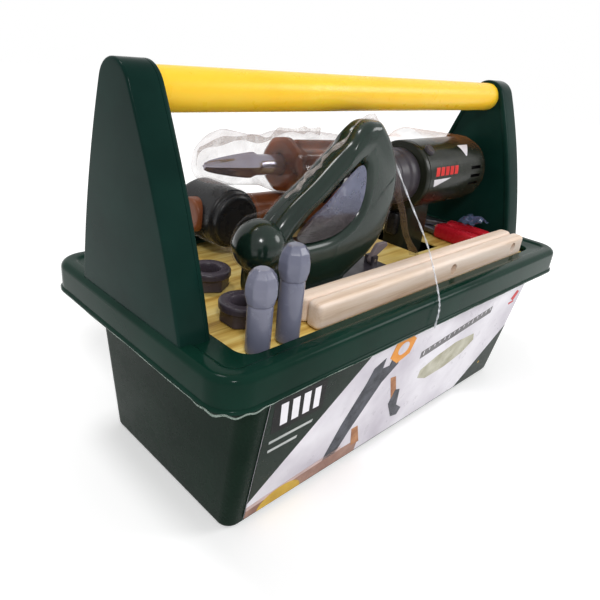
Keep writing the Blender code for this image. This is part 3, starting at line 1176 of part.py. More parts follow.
def main():
    clear_scene()
    green = make_material("green_plastic", (0.012, 0.055, 0.036), 0.22)
    tool_green = make_material("tool_green_plastic", (0.016, 0.050, 0.034), 0.18)
    yellow = make_material("yellow_plastic", (0.95, 0.72, 0.09), 0.35)
    dark = make_material("dark_grey_plastic", (0.045, 0.043, 0.050), 0.40)
    black = make_material("black_plastic", (0.015, 0.015, 0.016), 0.35)
    slate = make_material("blue_grey_plastic", (0.20, 0.21, 0.25), 0.35)
    grey = make_material("light_grey_plastic", (0.42, 0.39, 0.39), 0.40)
    silver = make_material("silver_plastic", (0.30, 0.30, 0.33), 0.25)
    steel = make_material("steel", (0.55, 0.55, 0.56), 0.30, 1.0)
    amber = make_material("amber_plastic", (0.30, 0.10, 0.025), 0.25)
    brown = make_material("brown_plastic", (0.22, 0.08, 0.03), 0.40)
    red = make_material("red_plastic", (0.45, 0.02, 0.04), 0.30)
    wood = make_material("pale_wood", (0.80, 0.64, 0.48), 0.60)
    card = make_material("printed_card", (0.70, 0.52, 0.20), 0.70)
    paper = make_material("printed_label", (0.62, 0.58, 0.62), 0.45)

    make_tub(green)
    make_frame(green)
    for side in (-1, 1):
        make_upright(side, green)
    make_screws(steel)
    make_bar(yellow)
    make_label(paper)
    make_card(card)

    plane = make_group("plane", (PLANE_KNOB_X, PLANE_Y, SEAT))
    knob_place, slope, trigger_place, drum_place = make_plane(plane, tool_green, dark, grey,
                                                              steel)
    make_drum_axle(plane, steel, drum_place)
    make_knob(make_group("knob_axis", knob_place), tool_green)
    trigger_origin = (trigger_place[0], PLANE_Y, trigger_place[1])
    make_plane_trigger(make_group("plane_trigger_axis", trigger_origin), slope, trigger_place,
                       dark)
    make_drum(make_group("drum_axis", drum_place), steel, drum_place)

    drill_place = (DRILL_FRONT_X, DRILL_AXIS_Y, DRILL_Z)
    make_drill(make_group("drill", drill_place), tool_green, dark, steel)
    make_chuck(make_group("chuck_axis", drill_place), dark, steel)
    make_drill_trigger(make_group("drill_trigger_axis", drill_trigger_box()[0]), dark)
    make_button(make_group("drill_button_axis", drill_place), dark)

    make_mallet(make_group("mallet", MALLET_PLACE), black, brown)
    make_screwdriver(make_group("screwdriver", DRIVER_PLACE), amber, silver)
    make_pliers(dark, red)
    for number in range(STRIP_COUNT):
        make_strip(number, wood)
    for number in range(len(BOLT_LENGTHS)):
        make_bolt(number, slate)
    for number in range(NUT_COUNT):
        make_nut(number, dark)


main()
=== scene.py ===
# Toy tool box with its toy tools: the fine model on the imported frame.
# X runs along the carry bar, -Y is the front with the label, Z is up, all in metres.

import math

import bmesh
import bpy
import numpy as np
from mathutils import Matrix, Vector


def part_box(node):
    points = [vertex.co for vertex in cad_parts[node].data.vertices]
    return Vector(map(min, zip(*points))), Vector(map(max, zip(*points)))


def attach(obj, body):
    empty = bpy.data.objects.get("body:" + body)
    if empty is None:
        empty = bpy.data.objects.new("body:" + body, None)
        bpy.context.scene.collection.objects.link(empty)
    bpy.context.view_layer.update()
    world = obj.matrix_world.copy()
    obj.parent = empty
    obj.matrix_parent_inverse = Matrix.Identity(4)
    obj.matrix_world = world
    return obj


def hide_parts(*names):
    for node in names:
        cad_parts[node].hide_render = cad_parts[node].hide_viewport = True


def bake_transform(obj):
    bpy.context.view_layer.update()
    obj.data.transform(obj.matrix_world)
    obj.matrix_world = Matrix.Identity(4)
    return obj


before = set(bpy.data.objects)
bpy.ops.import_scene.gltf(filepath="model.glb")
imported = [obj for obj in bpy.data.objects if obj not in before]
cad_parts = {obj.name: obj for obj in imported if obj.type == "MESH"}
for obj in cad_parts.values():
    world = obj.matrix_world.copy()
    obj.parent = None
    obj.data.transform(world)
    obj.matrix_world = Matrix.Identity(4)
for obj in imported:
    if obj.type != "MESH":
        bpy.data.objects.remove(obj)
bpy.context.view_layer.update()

mm = 0.001
gap = 0.3 * mm
xAxis, yAxis, zAxis = np.eye(3)


def span(node):
    # lowest and highest corner of a CAD node
    low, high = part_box(node)
    return np.array(low), np.array(high)


def say(stage):
    print("scene:", stage)


# Curves and outlines, each worked out as one array

def quarterRound(radius, steps):
    # inset = radius (1 - sin a) and drop = radius (1 - cos a), for a from 0 to 90 degrees
    angle = np.linspace(0, math.pi / 2, steps + 1)
    return radius * (1 - np.sin(angle)), radius * (1 - np.cos(angle))


def roundedEnds(low, high, edge, steps):
    # insets and places of rows from low to high, drawn in by a quarter round at each end
    inset, drop = quarterRound(edge, steps)
    return (np.concatenate([inset, inset[::-1]]),
            np.concatenate([low + drop, high - drop[::-1]]))


def evenRows(rows):
    # rows that leave out their last value get a zero there
    longest = max(len(row) for row in rows)
    return np.array([(*row, 0.0)[:longest] for row in rows], float)


longestCut = 0.45                   # of the side that a corner's cut lies on


def softened(points, cut, steps=4, closed=False):
    # every corner becomes the quadratic curve start (1-s)^2 + corner 2s(1-s) + end s^2,
    # whose ends lie a cut's length from it, or the longest cut where that is shorter
    points = evenRows(points)
    if closed:
        before, corner, after = np.roll(points, 1, axis=0), points, np.roll(points, -1, axis=0)
    else:
        before, corner, after = points[:-2], points[1:-1], points[2:]
    toBefore, toAfter = before - corner, after - corner
    lengthBefore = np.linalg.norm(toBefore, axis=1, keepdims=True)
    lengthAfter = np.linalg.norm(toAfter, axis=1, keepdims=True)
    cut = np.broadcast_to(np.asarray(cut, float), len(corner))[:, None]
    start = corner + toBefore / lengthBefore * np.minimum(cut, longestCut * lengthBefore)
    end = corner + toAfter / lengthAfter * np.minimum(cut, longestCut * lengthAfter)
    share = np.linspace(0, 1, steps + 1)[None, :, None]
    curve = (start[:, None] * (1 - share) ** 2 + corner[:, None] * 2 * share * (1 - share)
             + end[:, None] * share ** 2).reshape(-1, points.shape[1])
    return curve if closed else np.concatenate([points[:1], curve, points[-1:]])


def cubicThrough(before, start, end, beyond, steps):
    # Catmull-Rom pieces from start to end: the slope at a point is half the step from the
    # point before it to the point after it
    before, start, end, beyond = (part[:, None] for part in (before, start, end, beyond))
    share = (np.arange(steps) / steps)[None, :, None]
    curve = (start * (2 * share ** 3 - 3 * share ** 2 + 1)
             + (end - before) / 2 * (share ** 3 - 2 * share ** 2 + share)
             + end * (3 * share ** 2 - 2 * share ** 3)
             + (beyond - start) / 2 * (share ** 3 - share ** 2))
    return curve.reshape(-1, start.shape[-1])


def smoothLoop(points, steps):
    points = np.asarray(points, float)
    return cubicThrough(*(np.roll(points, shift, axis=0) for shift in (1, 0, -1, -2)), steps)


def smoothPath(points, steps):
    points = np.asarray(points, float)
    padded = np.concatenate([2 * points[:1] - points[1:2], points,
                             2 * points[-1:] - points[-2:-1]])
    curve = cubicThrough(*(padded[i:len(padded) - 3 + i] for i in range(4)), steps)
    return np.concatenate([curve, points[-1:]])


def roundedLoop(halfX, halfY, corner, steps=10):
    # four quarter circles of the corner's radius about the corner centres, joined by
    # straight sides; sizes may be arrays, one loop for each value
    angle = (np.arange(4)[:, None] + np.linspace(0, 1, steps + 1)) * math.pi / 2
    signX = np.array([1, -1, -1, 1])[:, None]
    signY = np.array([1, 1, -1, -1])[:, None]
    halfX, halfY, corner = [np.asarray(size, float)[..., None, None]
                            for size in (halfX, halfY, corner)]
    loop = np.stack([signX * (halfX - corner) + corner * np.cos(angle),
                     signY * (halfY - corner) + corner * np.sin(angle)], axis=-1)
    return loop.reshape(*loop.shape[:-3], -1, 2)


def insetLoop(loop, distance):
    # every point moves along the mitre of its two sides, so that each side shifts
    # inwards by the distance
    ahead = np.roll(loop, -1, axis=0) - loop
    area = np.sum(loop[:, 0] * np.roll(loop[:, 1], -1) - loop[:, 1] * np.roll(loop[:, 0], -1))
    ahead = ahead / np.linalg.norm(ahead, axis=1, keepdims=True)
    normal = np.sign(area) * np.stack([-ahead[:, 1], ahead[:, 0]], axis=1)
    previous = np.roll(normal, 1, axis=0)
    mitre = (normal + previous) / (1 + np.sum(normal * previous, axis=1, keepdims=True))
    return loop + mitre * distance


def acrossAxis(axis):
    # two unit directions across an axis
    axis = np.asarray(axis, float)
    helper = yAxis if abs(axis[1]) < abs(axis[0]) + abs(axis[2]) else zAxis
    side = np.cross(axis, helper)
    side = side / np.linalg.norm(side)
    return side, np.cross(side, axis)


def wholeTurn(steps):
    return np.arange(steps) * 2 * math.pi / steps


def aroundAxis(start, side, up, radius, angle):
    # start + side (radius cos a) + up (radius sin a)
    return (start + side * (radius * np.cos(angle))[..., None]
            + up * (radius * np.sin(angle))[..., None])


def revolved(profile, origin, axis, sides=64, lobes=0, turn=0.0, twist=0.0):
    # point = origin + axis along + radius (side cos a + up sin a), with the radius cut by
    # share (1 - cos(lobes a)) / 2; profile rows are radius, along and share
    profile = np.asarray([(*row, 0.0)[:3] for row in profile], float)
    side, up = acrossAxis(axis)
    angle = wholeTurn(sides)
    radius = profile[:, :1] * (1 - profile[:, 2:] * (1 - np.cos(lobes * angle)) / 2)
    angle = angle + turn + twist * profile[:, 1:2]
    start = np.asarray(origin) + np.asarray(axis, float) * profile[:, 1, None, None]
    return aroundAxis(start, side, up, radius, angle)


def fromFacet(angle, sides):
    # the angle from the middle of the nearest flat side
    sector = 2 * math.pi / sides
    return (angle + sector / 2) % sector - sector / 2


def facetSection(angle, sides, roundness, cornerShare=0.985):
    # radius of a flat-sided section with its corners near 1, mixed with a circle
    flat = np.minimum(math.cos(math.pi / sides) / np.cos(fromFacet(angle, sides)), cornerShare)
    return flat * (1 - roundness) + roundness


def aroundPoints(radii, angle):
    # (radius cos a, radius sin a) for every radius and angle
    return np.stack([radii * np.cos(angle), radii * np.sin(angle)], axis=-1)


def standing(loops, third, plane):
    # loops in a plane at their places along the third axis: "xy", "xz" or "yz"
    loops = np.asarray(loops)
    third = np.broadcast_to(np.asarray(third, float)[..., None] if np.ndim(third) == 1
                            else third, loops.shape[:2])
    u, v = loops[..., 0], loops[..., 1]
    order = {"xy": (u, v, third), "xz": (u, third, v), "yz": (third, u, v)}[plane]
    return np.stack(order, axis=-1)


def roundedBlock(low, high, edge, corner=None, steps=5):
    # rounded rectangles stacked along Z, drawn in by a quarter round at both ends
    low, high = np.asarray(low, float), np.asarray(high, float)
    corner = edge if corner is None else corner
    insets, heights = roundedEnds(low[2], high[2], edge, steps)
    half = (high - low) / 2
    loops = roundedLoop(half[0] - insets, half[1] - insets,
                        np.maximum(corner - insets * 0.9, 0.05 * mm), steps)
    return standing(loops + (low + high)[:2] / 2, heights, "xy")


def tilted(points, origin, slope):
    # a block made about (0, 0, 0), turned in XZ by a slope and moved to its origin
    x = points[..., 0] * math.cos(slope) - points[..., 2] * math.sin(slope)
    z = points[..., 0] * math.sin(slope) + points[..., 2] * math.cos(slope)
    return np.stack([x, points[..., 1], z], axis=-1) + np.asarray(origin)


# Meshes

capShare = 0.97                     # size of the ring inside an end cap, of the cap's own
pointSize = 1e-7                    # metres below which a length counts as none
mergeDistance = 0.5e-6


def skin(points, material=0, ring=False):
    # one grid of points round a form: a ring closes on itself, the rest is capped
    return {"points": np.asarray(points, float), "material": material, "ring": ring}


def skinFaces(part):
    # quads between neighbouring points, and the two end caps, facing outwards
    points = part["points"]
    if not part["ring"]:            # a ring just inside each cap keeps the cap flat
        ends = []
        for end in (points[0], points[-1]):
            middle = end.mean(axis=0)
            ends.append(middle + (end - middle) * capShare)
        points = np.concatenate([ends[0][None], points, ends[1][None]])
    rows, columns = points.shape[:2]
    i, j = np.meshgrid(np.arange(rows if part["ring"] else rows - 1), np.arange(columns),
                       indexing="ij")
    nextI, nextJ = (i + 1) % rows, (j + 1) % columns
    quads = np.stack([i * columns + j, i * columns + nextJ, nextI * columns + nextJ,
                      nextI * columns + j], axis=-1).reshape(-1, 4)
    flat = points.reshape(-1, 3)
    caps = []
    if not part["ring"]:
        caps = [np.arange(columns)[::-1], (rows - 1) * columns + np.arange(columns)]
        caps = [cap for cap in caps if np.ptp(flat[cap], axis=0).max() > pointSize]
    a, b, c, d = (flat[quads[:, k]] for k in range(4))
    volume = np.sum(a * (np.cross(b, c) + np.cross(c, d)))
    for cap in caps:
        volume += np.sum(flat[cap[0]] * np.cross(flat[cap[1:-1]], flat[cap[2:]]))
    if volume < 0:
        quads, caps = quads[:, ::-1], [cap[::-1] for cap in caps]
    return flat, quads, caps


def makeMesh(name, parts):
    points, faces, slots, start = [], [], [], 0
    for part in parts:
        flat, quads, caps = skinFaces(part)
        points.append(flat)
        faces += (quads + start).tolist() + [(cap + start).tolist() for cap in caps]
        slots += [part["material"]] * (len(quads) + len(caps))
        start += len(flat)
    mesh = bpy.data.meshes.new(name)
    mesh.from_pydata(np.concatenate(points), [], faces)
    mesh.polygons.foreach_set("material_index", slots)
    work = bmesh.new()
    work.from_mesh(mesh)
    bmesh.ops.remove_doubles(work, verts=work.verts, dist=mergeDistance)
    work.to_mesh(mesh)
    work.free()
    return mesh


def newObject(name, data, materials=()):
    made = bpy.data.objects.new(name, data)
    bpy.context.collection.objects.link(made)
    for material in materials:
        data.materials.append(material)
    return made


def makePiece(name, body, parts, materials, replaces=(), slot=None, cuts=(), sharp=38):
    # one object at the origin: its skins, less its cuts, on a body of the frame
    piece = newObject(name, makeMesh(name, parts), materials)
    if cuts:
        cutter = newObject(name + "_cuts", makeMesh(name + "_cuts", cuts), materials)
        carve = piece.modifiers.new("carve", 'BOOLEAN')
        carve.object = cutter
        carve.operation = 'DIFFERENCE'
        carve.solver = 'EXACT'
        carve.use_self = True
        carved = bpy.data.meshes.new_from_object(
            piece.evaluated_get(bpy.context.evaluated_depsgraph_get()))
        piece.modifiers.clear()
        piece.data = carved
        bpy.data.objects.remove(cutter, do_unlink=True)
    piece.data.shade_smooth()
    piece.data.set_sharp_from_angle(angle=math.radians(sharp))
    if replaces:
        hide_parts(*replaces)
    if body:
        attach(piece, body)
    return piece


def finePiece(node, body, parts, materials, slot, **options):
    # the fine form of one CAD node, which it replaces
    makePiece(f"fine_{node}", body, parts, materials, [node], slot, **options)


# Materials

def tint(red, green, blue):
    # a screen colour from 0 to 255 as linear light
    share = np.array((red, green, blue)) / 255
    linear = np.where(share <= 0.04045, share / 12.92, ((share + 0.055) / 1.055) ** 2.4)
    return (*[float(value) for value in linear], 1.0)


def startMaterial(name, **sockets):
    material = bpy.data.materials.new(name)
    material.use_nodes = True
    shader = material.node_tree.nodes["Principled BSDF"]
    for socket, value in sockets.items():
        shader.inputs[socket.replace("_", " ")].default_value = value
    return material, material.node_tree, shader


def patternPlace(tree, scale=(1, 1, 1), turn=(0, 0, 0)):
    # object coordinates, stretched and turned
    coordinates = tree.nodes.new("ShaderNodeTexCoord")
    mapping = tree.nodes.new("ShaderNodeMapping")
    mapping.inputs["Scale"].default_value = scale
    mapping.inputs["Rotation"].default_value = turn
    tree.links.new(coordinates.outputs["Object"], mapping.inputs["Vector"])
    return mapping.outputs["Vector"]


def noise(tree, place, scale, detail=3.0, roughness=0.55, distortion=0.0):
    node = tree.nodes.new("ShaderNodeTexNoise")
    node.inputs["Scale"].default_value = scale
    node.inputs["Detail"].default_value = detail
    node.inputs["Roughness"].default_value = roughness
    node.inputs["Distortion"].default_value = distortion
    tree.links.new(place, node.inputs["Vector"])
    return node.outputs["Fac"]


def ranged(tree, value, low, high, fromLow=0.3, fromHigh=0.7):
    node = tree.nodes.new("ShaderNodeMapRange")
    node.inputs["From Min"].default_value = fromLow
    node.inputs["From Max"].default_value = fromHigh
    node.inputs["To Min"].default_value = low
    node.inputs["To Max"].default_value = high
    tree.links.new(value, node.inputs["Value"])
    return node.outputs["Result"]


def ramp(tree, value, stops):
    # stops are (place, screen colour)
    node = tree.nodes.new("ShaderNodeValToRGB")
    while len(node.color_ramp.elements) < len(stops):
        node.color_ramp.elements.new(0.5)
    for element, (place, colour) in zip(node.color_ramp.elements, stops):
        element.position = place
        element.color = tint(*colour)
    tree.links.new(value, node.inputs["Fac"])
    return node.outputs["Color"]


def maths(tree, operation, *values):
    node = tree.nodes.new("ShaderNodeMath")
    node.operation = operation
    for socket, value in zip(node.inputs, values):
        if isinstance(value, (int, float)):
            socket.default_value = value
        else:
            tree.links.new(value, socket)
    return node.outputs["Value"]


def bumped(tree, shader, value, depth, strength=1.0):
    node = tree.nodes.new("ShaderNodeBump")
    node.inputs["Distance"].default_value = depth
    node.inputs["Strength"].default_value = strength
    tree.links.new(value, node.inputs["Height"])
    tree.links.new(node.outputs["Normal"], shader.inputs["Normal"])


def coloured(tree, shader, pattern, stops, glossPattern, roughness):
    # the base colour follows one pattern and the roughness another
    tree.links.new(ramp(tree, pattern, stops), shader.inputs["Base Color"])
    tree.links.new(ranged(tree, glossPattern, *roughness), shader.inputs["Roughness"])


def plastic(name, colour, other, roughness=(0.18, 0.30), patch=28, grain=900,
            depth=0.02 * mm, scuffs=0.0, **sockets):
    # moulded plastic: two close colours in soft patches, uneven gloss and a fine grain,
    # with faint long scuffs where asked
    sockets.setdefault("Specular_IOR_Level", 0.25)
    material, tree, shader = startMaterial(name, **sockets)
    place = patternPlace(tree)
    coloured(tree, shader, noise(tree, place, patch), [(0.32, colour), (0.68, other)],
             noise(tree, place, patch * 5), roughness)
    height = noise(tree, place, grain, 2.0)
    if scuffs:
        streaks = noise(tree, patternPlace(tree, (40, 900, 300), (0.3, 0.5, 0.4)), 1.0, 2.0)
        height = maths(tree, 'MULTIPLY_ADD', ranged(tree, streaks, 0, 1, 0.62, 0.70), scuffs,
                       height)
    bumped(tree, shader, height, depth)
    return material


def woodMaterial():
    # pale sanded timber: long grain along X, darker bands and fine pores
    material, tree, shader = startMaterial("pale_wood_grain", Specular_IOR_Level=0.35)
    bands = noise(tree, patternPlace(tree, (7, 120, 95)), 1.0, 4.0, 0.55, 0.6)
    pores = noise(tree, patternPlace(tree, (60, 1500, 1500)), 1.0, 2.0)
    grain = maths(tree, 'MULTIPLY_ADD', pores, 0.22, bands)
    coloured(tree, shader, grain, [(0.36, (204, 174, 150)), (0.48, (226, 202, 180)),
                                   (0.62, (236, 216, 200)), (0.80, (242, 227, 214))],
             bands, (0.42, 0.62))
    bumped(tree, shader, grain, 0.12 * mm, 0.6)
    return material


def cardMaterial():
    # printed card in the colours of golden planks, with darker streaks along them
    material, tree, shader = startMaterial("golden_printed_card", Specular_IOR_Level=0.4)
    streaks = noise(tree, patternPlace(tree, (9, 150, 1)), 1.0, 5.0, 0.6, 0.8)
    patches = noise(tree, patternPlace(tree, (18, 40, 1)), 1.0, 3.0)
    coloured(tree, shader, maths(tree, 'MULTIPLY_ADD', patches, 0.5, streaks),
             [(0.52, (150, 112, 44)), (0.66, (199, 160, 74)), (0.80, (228, 198, 112)),
              (0.95, (238, 214, 140))], patches, (0.45, 0.62))
    bumped(tree, shader, streaks, 0.03 * mm, 0.5)
    return material


def inkMaterial(name, colour, other, roughness=(0.26, 0.36), scale=60):
    # printed paper under a thin varnish, with the slight mottle of the print
    material, tree, shader = startMaterial(name, Specular_IOR_Level=0.07)
    place = patternPlace(tree)
    coloured(tree, shader, noise(tree, place, scale, 4.0), [(0.35, colour), (0.65, other)],
             noise(tree, place, scale * 6), roughness)
    bumped(tree, shader, noise(tree, place, 2600, 1.0), 0.004 * mm)
    return material


def metalMaterial(name, colour, other, roughness=(0.22, 0.38), stretch=(20, 600, 600)):
    # brushed metal: bright and dull lines along its length
    material, tree, shader = startMaterial(name, Metallic=1.0)
    lines = noise(tree, patternPlace(tree, stretch), 1.0, 3.0)
    coloured(tree, shader, lines, [(0.3, colour), (0.7, other)], lines, roughness)
    bumped(tree, shader, lines, 0.01 * mm, 0.5)
    return material


boxGreen = plastic("dark_green_moulding", (13, 31, 22), (19, 38, 28), (0.22, 0.32),
                   depth=0.006 * mm, scuffs=0.25, Specular_IOR_Level=0.035)
frameGreen = plastic("frame_green_moulding", (10, 40, 31), (15, 48, 38), (0.12, 0.20),
                     depth=0.006 * mm, scuffs=0.3, Specular_IOR_Level=0.06)
uprightGreen = plastic("upright_green_moulding", (12, 38, 33), (18, 47, 41), (0.14, 0.22),
                       depth=0.006 * mm, scuffs=0.3, Specular_IOR_Level=0.04)
toolGreen = plastic("tool_green_moulding", (17, 33, 27), (25, 43, 35), (0.14, 0.22),
                    depth=0.004 * mm, Specular_IOR_Level=0.28, Coat_Weight=0.12,
                    Coat_Roughness=0.06)
drillGreen = plastic("drill_green_moulding", (28, 31, 24), (36, 39, 31), (0.18, 0.28),
                     depth=0.01 * mm, Specular_IOR_Level=0.12, Coat_Weight=0.05,
                     Coat_Roughness=0.08)
barYellow = plastic("carry_bar_yellow", (255, 200, 42), (255, 207, 56), (0.26, 0.36),
                    depth=0.01 * mm, Subsurface_Weight=0.25, Subsurface_Scale=4 * mm)
darkGrey = plastic("dark_grey_moulding", (54, 50, 56), (66, 62, 68), (0.28, 0.40),
                   depth=0.02 * mm, Specular_IOR_Level=0.2)
nutGrey = plastic("toy_nut_grey", (60, 54, 62), (74, 67, 76), (0.24, 0.36), depth=0.02 * mm)
black = plastic("black_moulding", (22, 22, 24), (31, 31, 33), (0.22, 0.34), depth=0.02 * mm)
# near-black painted shade on the walls of cut slots, pockets and ports
shadowBlack = plastic("slot_painted_shade", (10, 10, 11), (15, 15, 16), (0.5, 0.6),
                      Specular_IOR_Level=0.05)
boltGrey = plastic("toy_bolt_blue_grey", (100, 103, 122), (120, 121, 138), (0.18, 0.30),
                   depth=0.02 * mm, Coat_Weight=0.3, Coat_Roughness=0.08)
leverGrey = plastic("lever_grey", (112, 102, 106), (124, 114, 118), (0.34, 0.46))
tipSilver = plastic("silver_plated_tip", (150, 146, 160), (172, 168, 180), (0.14, 0.26),
                    grain=600, depth=0.01 * mm, Metallic=0.75)
amber = plastic("amber_handle", (40, 18, 10), (158, 76, 20), (0.08, 0.18), patch=46,
                depth=0.004 * mm, Transmission_Weight=0.25, IOR=1.49, Coat_Weight=0.1,
                Coat_Roughness=0.05)
brown = plastic("mallet_handle_brown", (104, 58, 36), (130, 74, 44), (0.26, 0.38),
                patch=60, depth=0.03 * mm)
gripRed = plastic("pliers_grip_red", (176, 22, 38), (196, 32, 46), (0.22, 0.32))
steel = metalMaterial("brushed_steel", (150, 150, 154), (190, 190, 194))
darkSteel = metalMaterial("dark_steel", (92, 92, 98), (124, 124, 130), (0.26, 0.4),
                          (500, 30, 500))
wood = woodMaterial()
card = cardMaterial()
say("materials")


# The CAD nodes whose shape is right keep it and get a finish

keptNodes = {
    "card_insert": card, "drill_motor": steel, "drill_spindle": steel,
    "plane_drum": steel, "plane_drum_axle": steel, "plane_lever_pin": steel,
    "pliers_pin": steel, "plane_shoe": darkGrey,
    "left_upright_screw_front": steel, "left_upright_screw_back": steel,
    "right_upright_screw_front": steel, "right_upright_screw_back": steel}

for nodeName, material in keptNodes.items():
    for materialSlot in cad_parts[nodeName].material_slots:
        materialSlot.material = material


# The tub and the frame over it

tub = {"wall": 2.2 * mm, "floor": 2.5 * mm, "baseEdge": 3.0 * mm, "lip": 2.8 * mm,
       "lipThickness": 2.0 * mm, "corner": 8 * mm, "topCorner": 10 * mm,
       "baseLength": 290 * mm, "baseWidth": 123.8 * mm, "topLength": 296 * mm,
       "topWidth": 160 * mm, "height": 114.0 * mm}


def tubHalf(height):
    # the outer wall's half sizes grow evenly from the base to the top
    share = np.asarray(height) / tub["height"]
    return ((tub["baseLength"] * (1 - share) + tub["topLength"] * share) / 2,
            (tub["baseWidth"] * (1 - share) + tub["topWidth"] * share) / 2,
            tub["corner"] * (1 - share) + tub["topCorner"] * share)


def makeTub():
    # rows of height and inset: out from the base, up the wall, over the lip, down inside
    inset, rise = quarterRound(tub["baseEdge"], 7)
    underLip = tub["height"] - tub["lipThickness"]
    floor = tub["floor"]
    rows = [*zip(rise, inset)]
    rows += [(0.5 * tub["height"], 0), (underLip - 1.2 * mm, 0), (underLip - 0.4 * mm, -0.2 * mm),
             (underLip, -1.0 * mm), (underLip, -tub["lip"]), (tub["height"], -tub["lip"]),
             (tub["height"], tub["wall"]), (0.5 * tub["height"], tub["wall"]),
             (floor + tub["baseEdge"], tub["wall"])]
    rows += [*zip(floor + rise[::-1], tub["wall"] + inset[::-1])]
    height, inset = np.array(rows).T
    halfX, halfY, corner = tubHalf(height)
    loops = roundedLoop(halfX - inset, halfY - inset, np.maximum(corner - inset, 0.5 * mm), 12)
    finePiece("tub", "box", [skin(standing(loops, height, "xy"))], [boxGreen], "green")


rim = {"length": 340 * mm, "width": 173.5 * mm, "height": 118 * mm, "plate": 2.5 * mm,
       "corner": 18 * mm, "edge": 4.0 * mm, "beadRise": 1.2 * mm, "beadWidth": 5.0 * mm,
       "skirtDepth": 18 * mm, "skirtWall": 2.2 * mm, "skirtLip": 1.0 * mm,
       "openingLength": 291.6 * mm, "openingWidth": 139 * mm, "openingCorner": 9 * mm}


def makeFrame():
    # one closed profile of insets and heights, carried round the rim's outline, and from
    # its inner edge round the opening's outline
    top, foot = rim["height"], rim["height"] - rim["skirtDepth"]
    flat = top - rim["beadRise"]
    under = flat - rim["plate"]
    lip, edge = rim["skirtLip"], rim["edge"]
    beadEnd = edge + rim["beadWidth"]
    outer = [(rim["skirtWall"], under), (rim["skirtWall"], foot + 0.6 * mm),
             (rim["skirtWall"] - 0.6 * mm, foot), (-lip + 0.4 * mm, foot), (-lip, foot + 0.4 * mm),
             (-lip, foot + 1.4 * mm), (-0.7 * lip, foot + 2.0 * mm), (0, foot + 2.4 * mm)]
    inset, drop = quarterRound(edge, 8)
    outer += [*zip(inset[::-1], top - drop[::-1])]
    outer += [(beadEnd - 0.8 * mm, top), (beadEnd - 0.1 * mm, top - 0.15 * mm),
              (beadEnd + 0.6 * mm, top - 0.6 * mm), (beadEnd + 1.3 * mm, flat + 0.1 * mm),
              (beadEnd + 2.0 * mm, flat)]
    outer = np.array(outer)
    half = rim["length"] / 2 - lip, rim["width"] / 2 - lip
    rows = [np.stack([half[0] - outer[:, 0], half[1] - outer[:, 0],
                      rim["corner"] - lip - outer[:, 0], outer[:, 1]], axis=1)]
    inset, drop = quarterRound(lip, 5)
    opening = np.stack([rim["openingLength"] / 2 + inset, rim["openingWidth"] / 2 + inset,
                        rim["openingCorner"] + inset, flat - drop], axis=1)
    rows += [opening, [[rim["openingLength"] / 2, rim["openingWidth"] / 2,
                        rim["openingCorner"], under]]]
    halfX, halfY, corner, height = np.concatenate(rows).T
    loops = roundedLoop(halfX, halfY, corner, 14)
    finePiece("top_frame", "box", [skin(standing(loops, height, "xy"), ring=True)], [frameGreen],
              "green")


makeTub()
makeFrame()
say("tub and frame")


# The uprights and the carry bar

upright = {"x": 166.5 * mm, "depth": 17.4 * mm, "foot": 96 * mm, "footZ": 116.5 * mm,
           "height": 118.2 * mm, "lean": 2.6 * mm, "topRadius": 14.0 * mm, "sideAngle": 24,
           "curve": 0.48, "edge": 1.2 * mm, "seam": 14.6 * mm, "panelRim": 3.4 * mm,
           "panelDepth": 0.8 * mm, "barRadius": 10.2 * mm, "barZ": 222.2 * mm,
           "barGap": 6 * mm, "barEdge": 0.8 * mm}


def uprightLoop():
    # each side is the quadratic curve foot (1-s)^2 + pull 2s(1-s) + end s^2, and the
    # round top is an arc between the sides' ends
    radius, angle = upright["topRadius"], math.radians(upright["sideAngle"])
    middle = upright["footZ"] + upright["height"] - radius
    foot = np.array((upright["foot"] / 2, upright["footZ"]))
    end = np.array((radius * math.cos(angle), middle + radius * math.sin(angle)))
    pull = end + upright["height"] * upright["curve"] * np.array((math.sin(angle),
                                                                  -math.cos(angle)))
    share = np.linspace(0, 1, 28, endpoint=False)[:, None]
    side = foot * (1 - share) ** 2 + pull * 2 * share * (1 - share) + end * share ** 2
    turn = np.linspace(angle, math.pi - angle, 26)
    arc = np.stack([radius * np.cos(turn), middle + radius * np.sin(turn)], axis=1)
    return np.concatenate([side, arc, side[::-1] * (-1, 1)])


def makeUpright(side, name):
    loop = uprightLoop()
    edge, depth, seam = upright["edge"], upright["depth"], upright["seam"]
    inset, drop = quarterRound(edge, 6)
    rows = [*zip(inset, drop)]
    rows += [(0, seam - 0.15 * mm), (0.25 * mm, seam + 0.02 * mm), (0.25 * mm, seam + 0.12 * mm),
             (0, seam + 0.3 * mm)]
    rows += [*zip(inset[::-1], depth - drop[::-1])]
    panel = upright["panelRim"]
    rows += [(panel, depth), (panel + 0.2 * mm, depth - 0.15 * mm),
             (panel + 0.5 * mm, depth - upright["panelDepth"])]
    loops = np.stack([insetLoop(loop, back) for back, _ in rows])
    atFoot = loop[:, 1] < upright["footZ"] + pointSize
    loops[:, atFoot, 1] = upright["footZ"]
    depths = np.array([down for _, down in rows])[:, None]
    lean = upright["lean"] * (loops[..., 1] - upright["footZ"]) / upright["height"]
    points = standing(loops, side * (upright["x"] - depths + lean), "yz")
    makePiece(f"fine_{name}", "box", [skin(points)], [uprightGreen],
              [name + "_shell", name + "_cover"], "green")


def makeBar():
    _, high = span("carry_bar")
    end, radius = high[0] - upright["barGap"], upright["barRadius"]
    profile = softened([(0, -end), (radius, -end), (radius, end), (0, end)], upright["barEdge"],
                       5)
    middle = [(radius, x) for x in np.linspace(-0.9, 0.9, 13) * end]
    left, right = np.split(profile, 2)
    profile = np.concatenate([left, middle, right])
    points = revolved(profile, (0, 0, upright["barZ"]), xAxis, 72)
    finePiece("carry_bar", "carry_bar", [skin(points)], [barYellow], "yellow")


makeUpright(-1, "left_upright")
makeUpright(1, "right_upright")
makeBar()
say("uprights and carry bar")


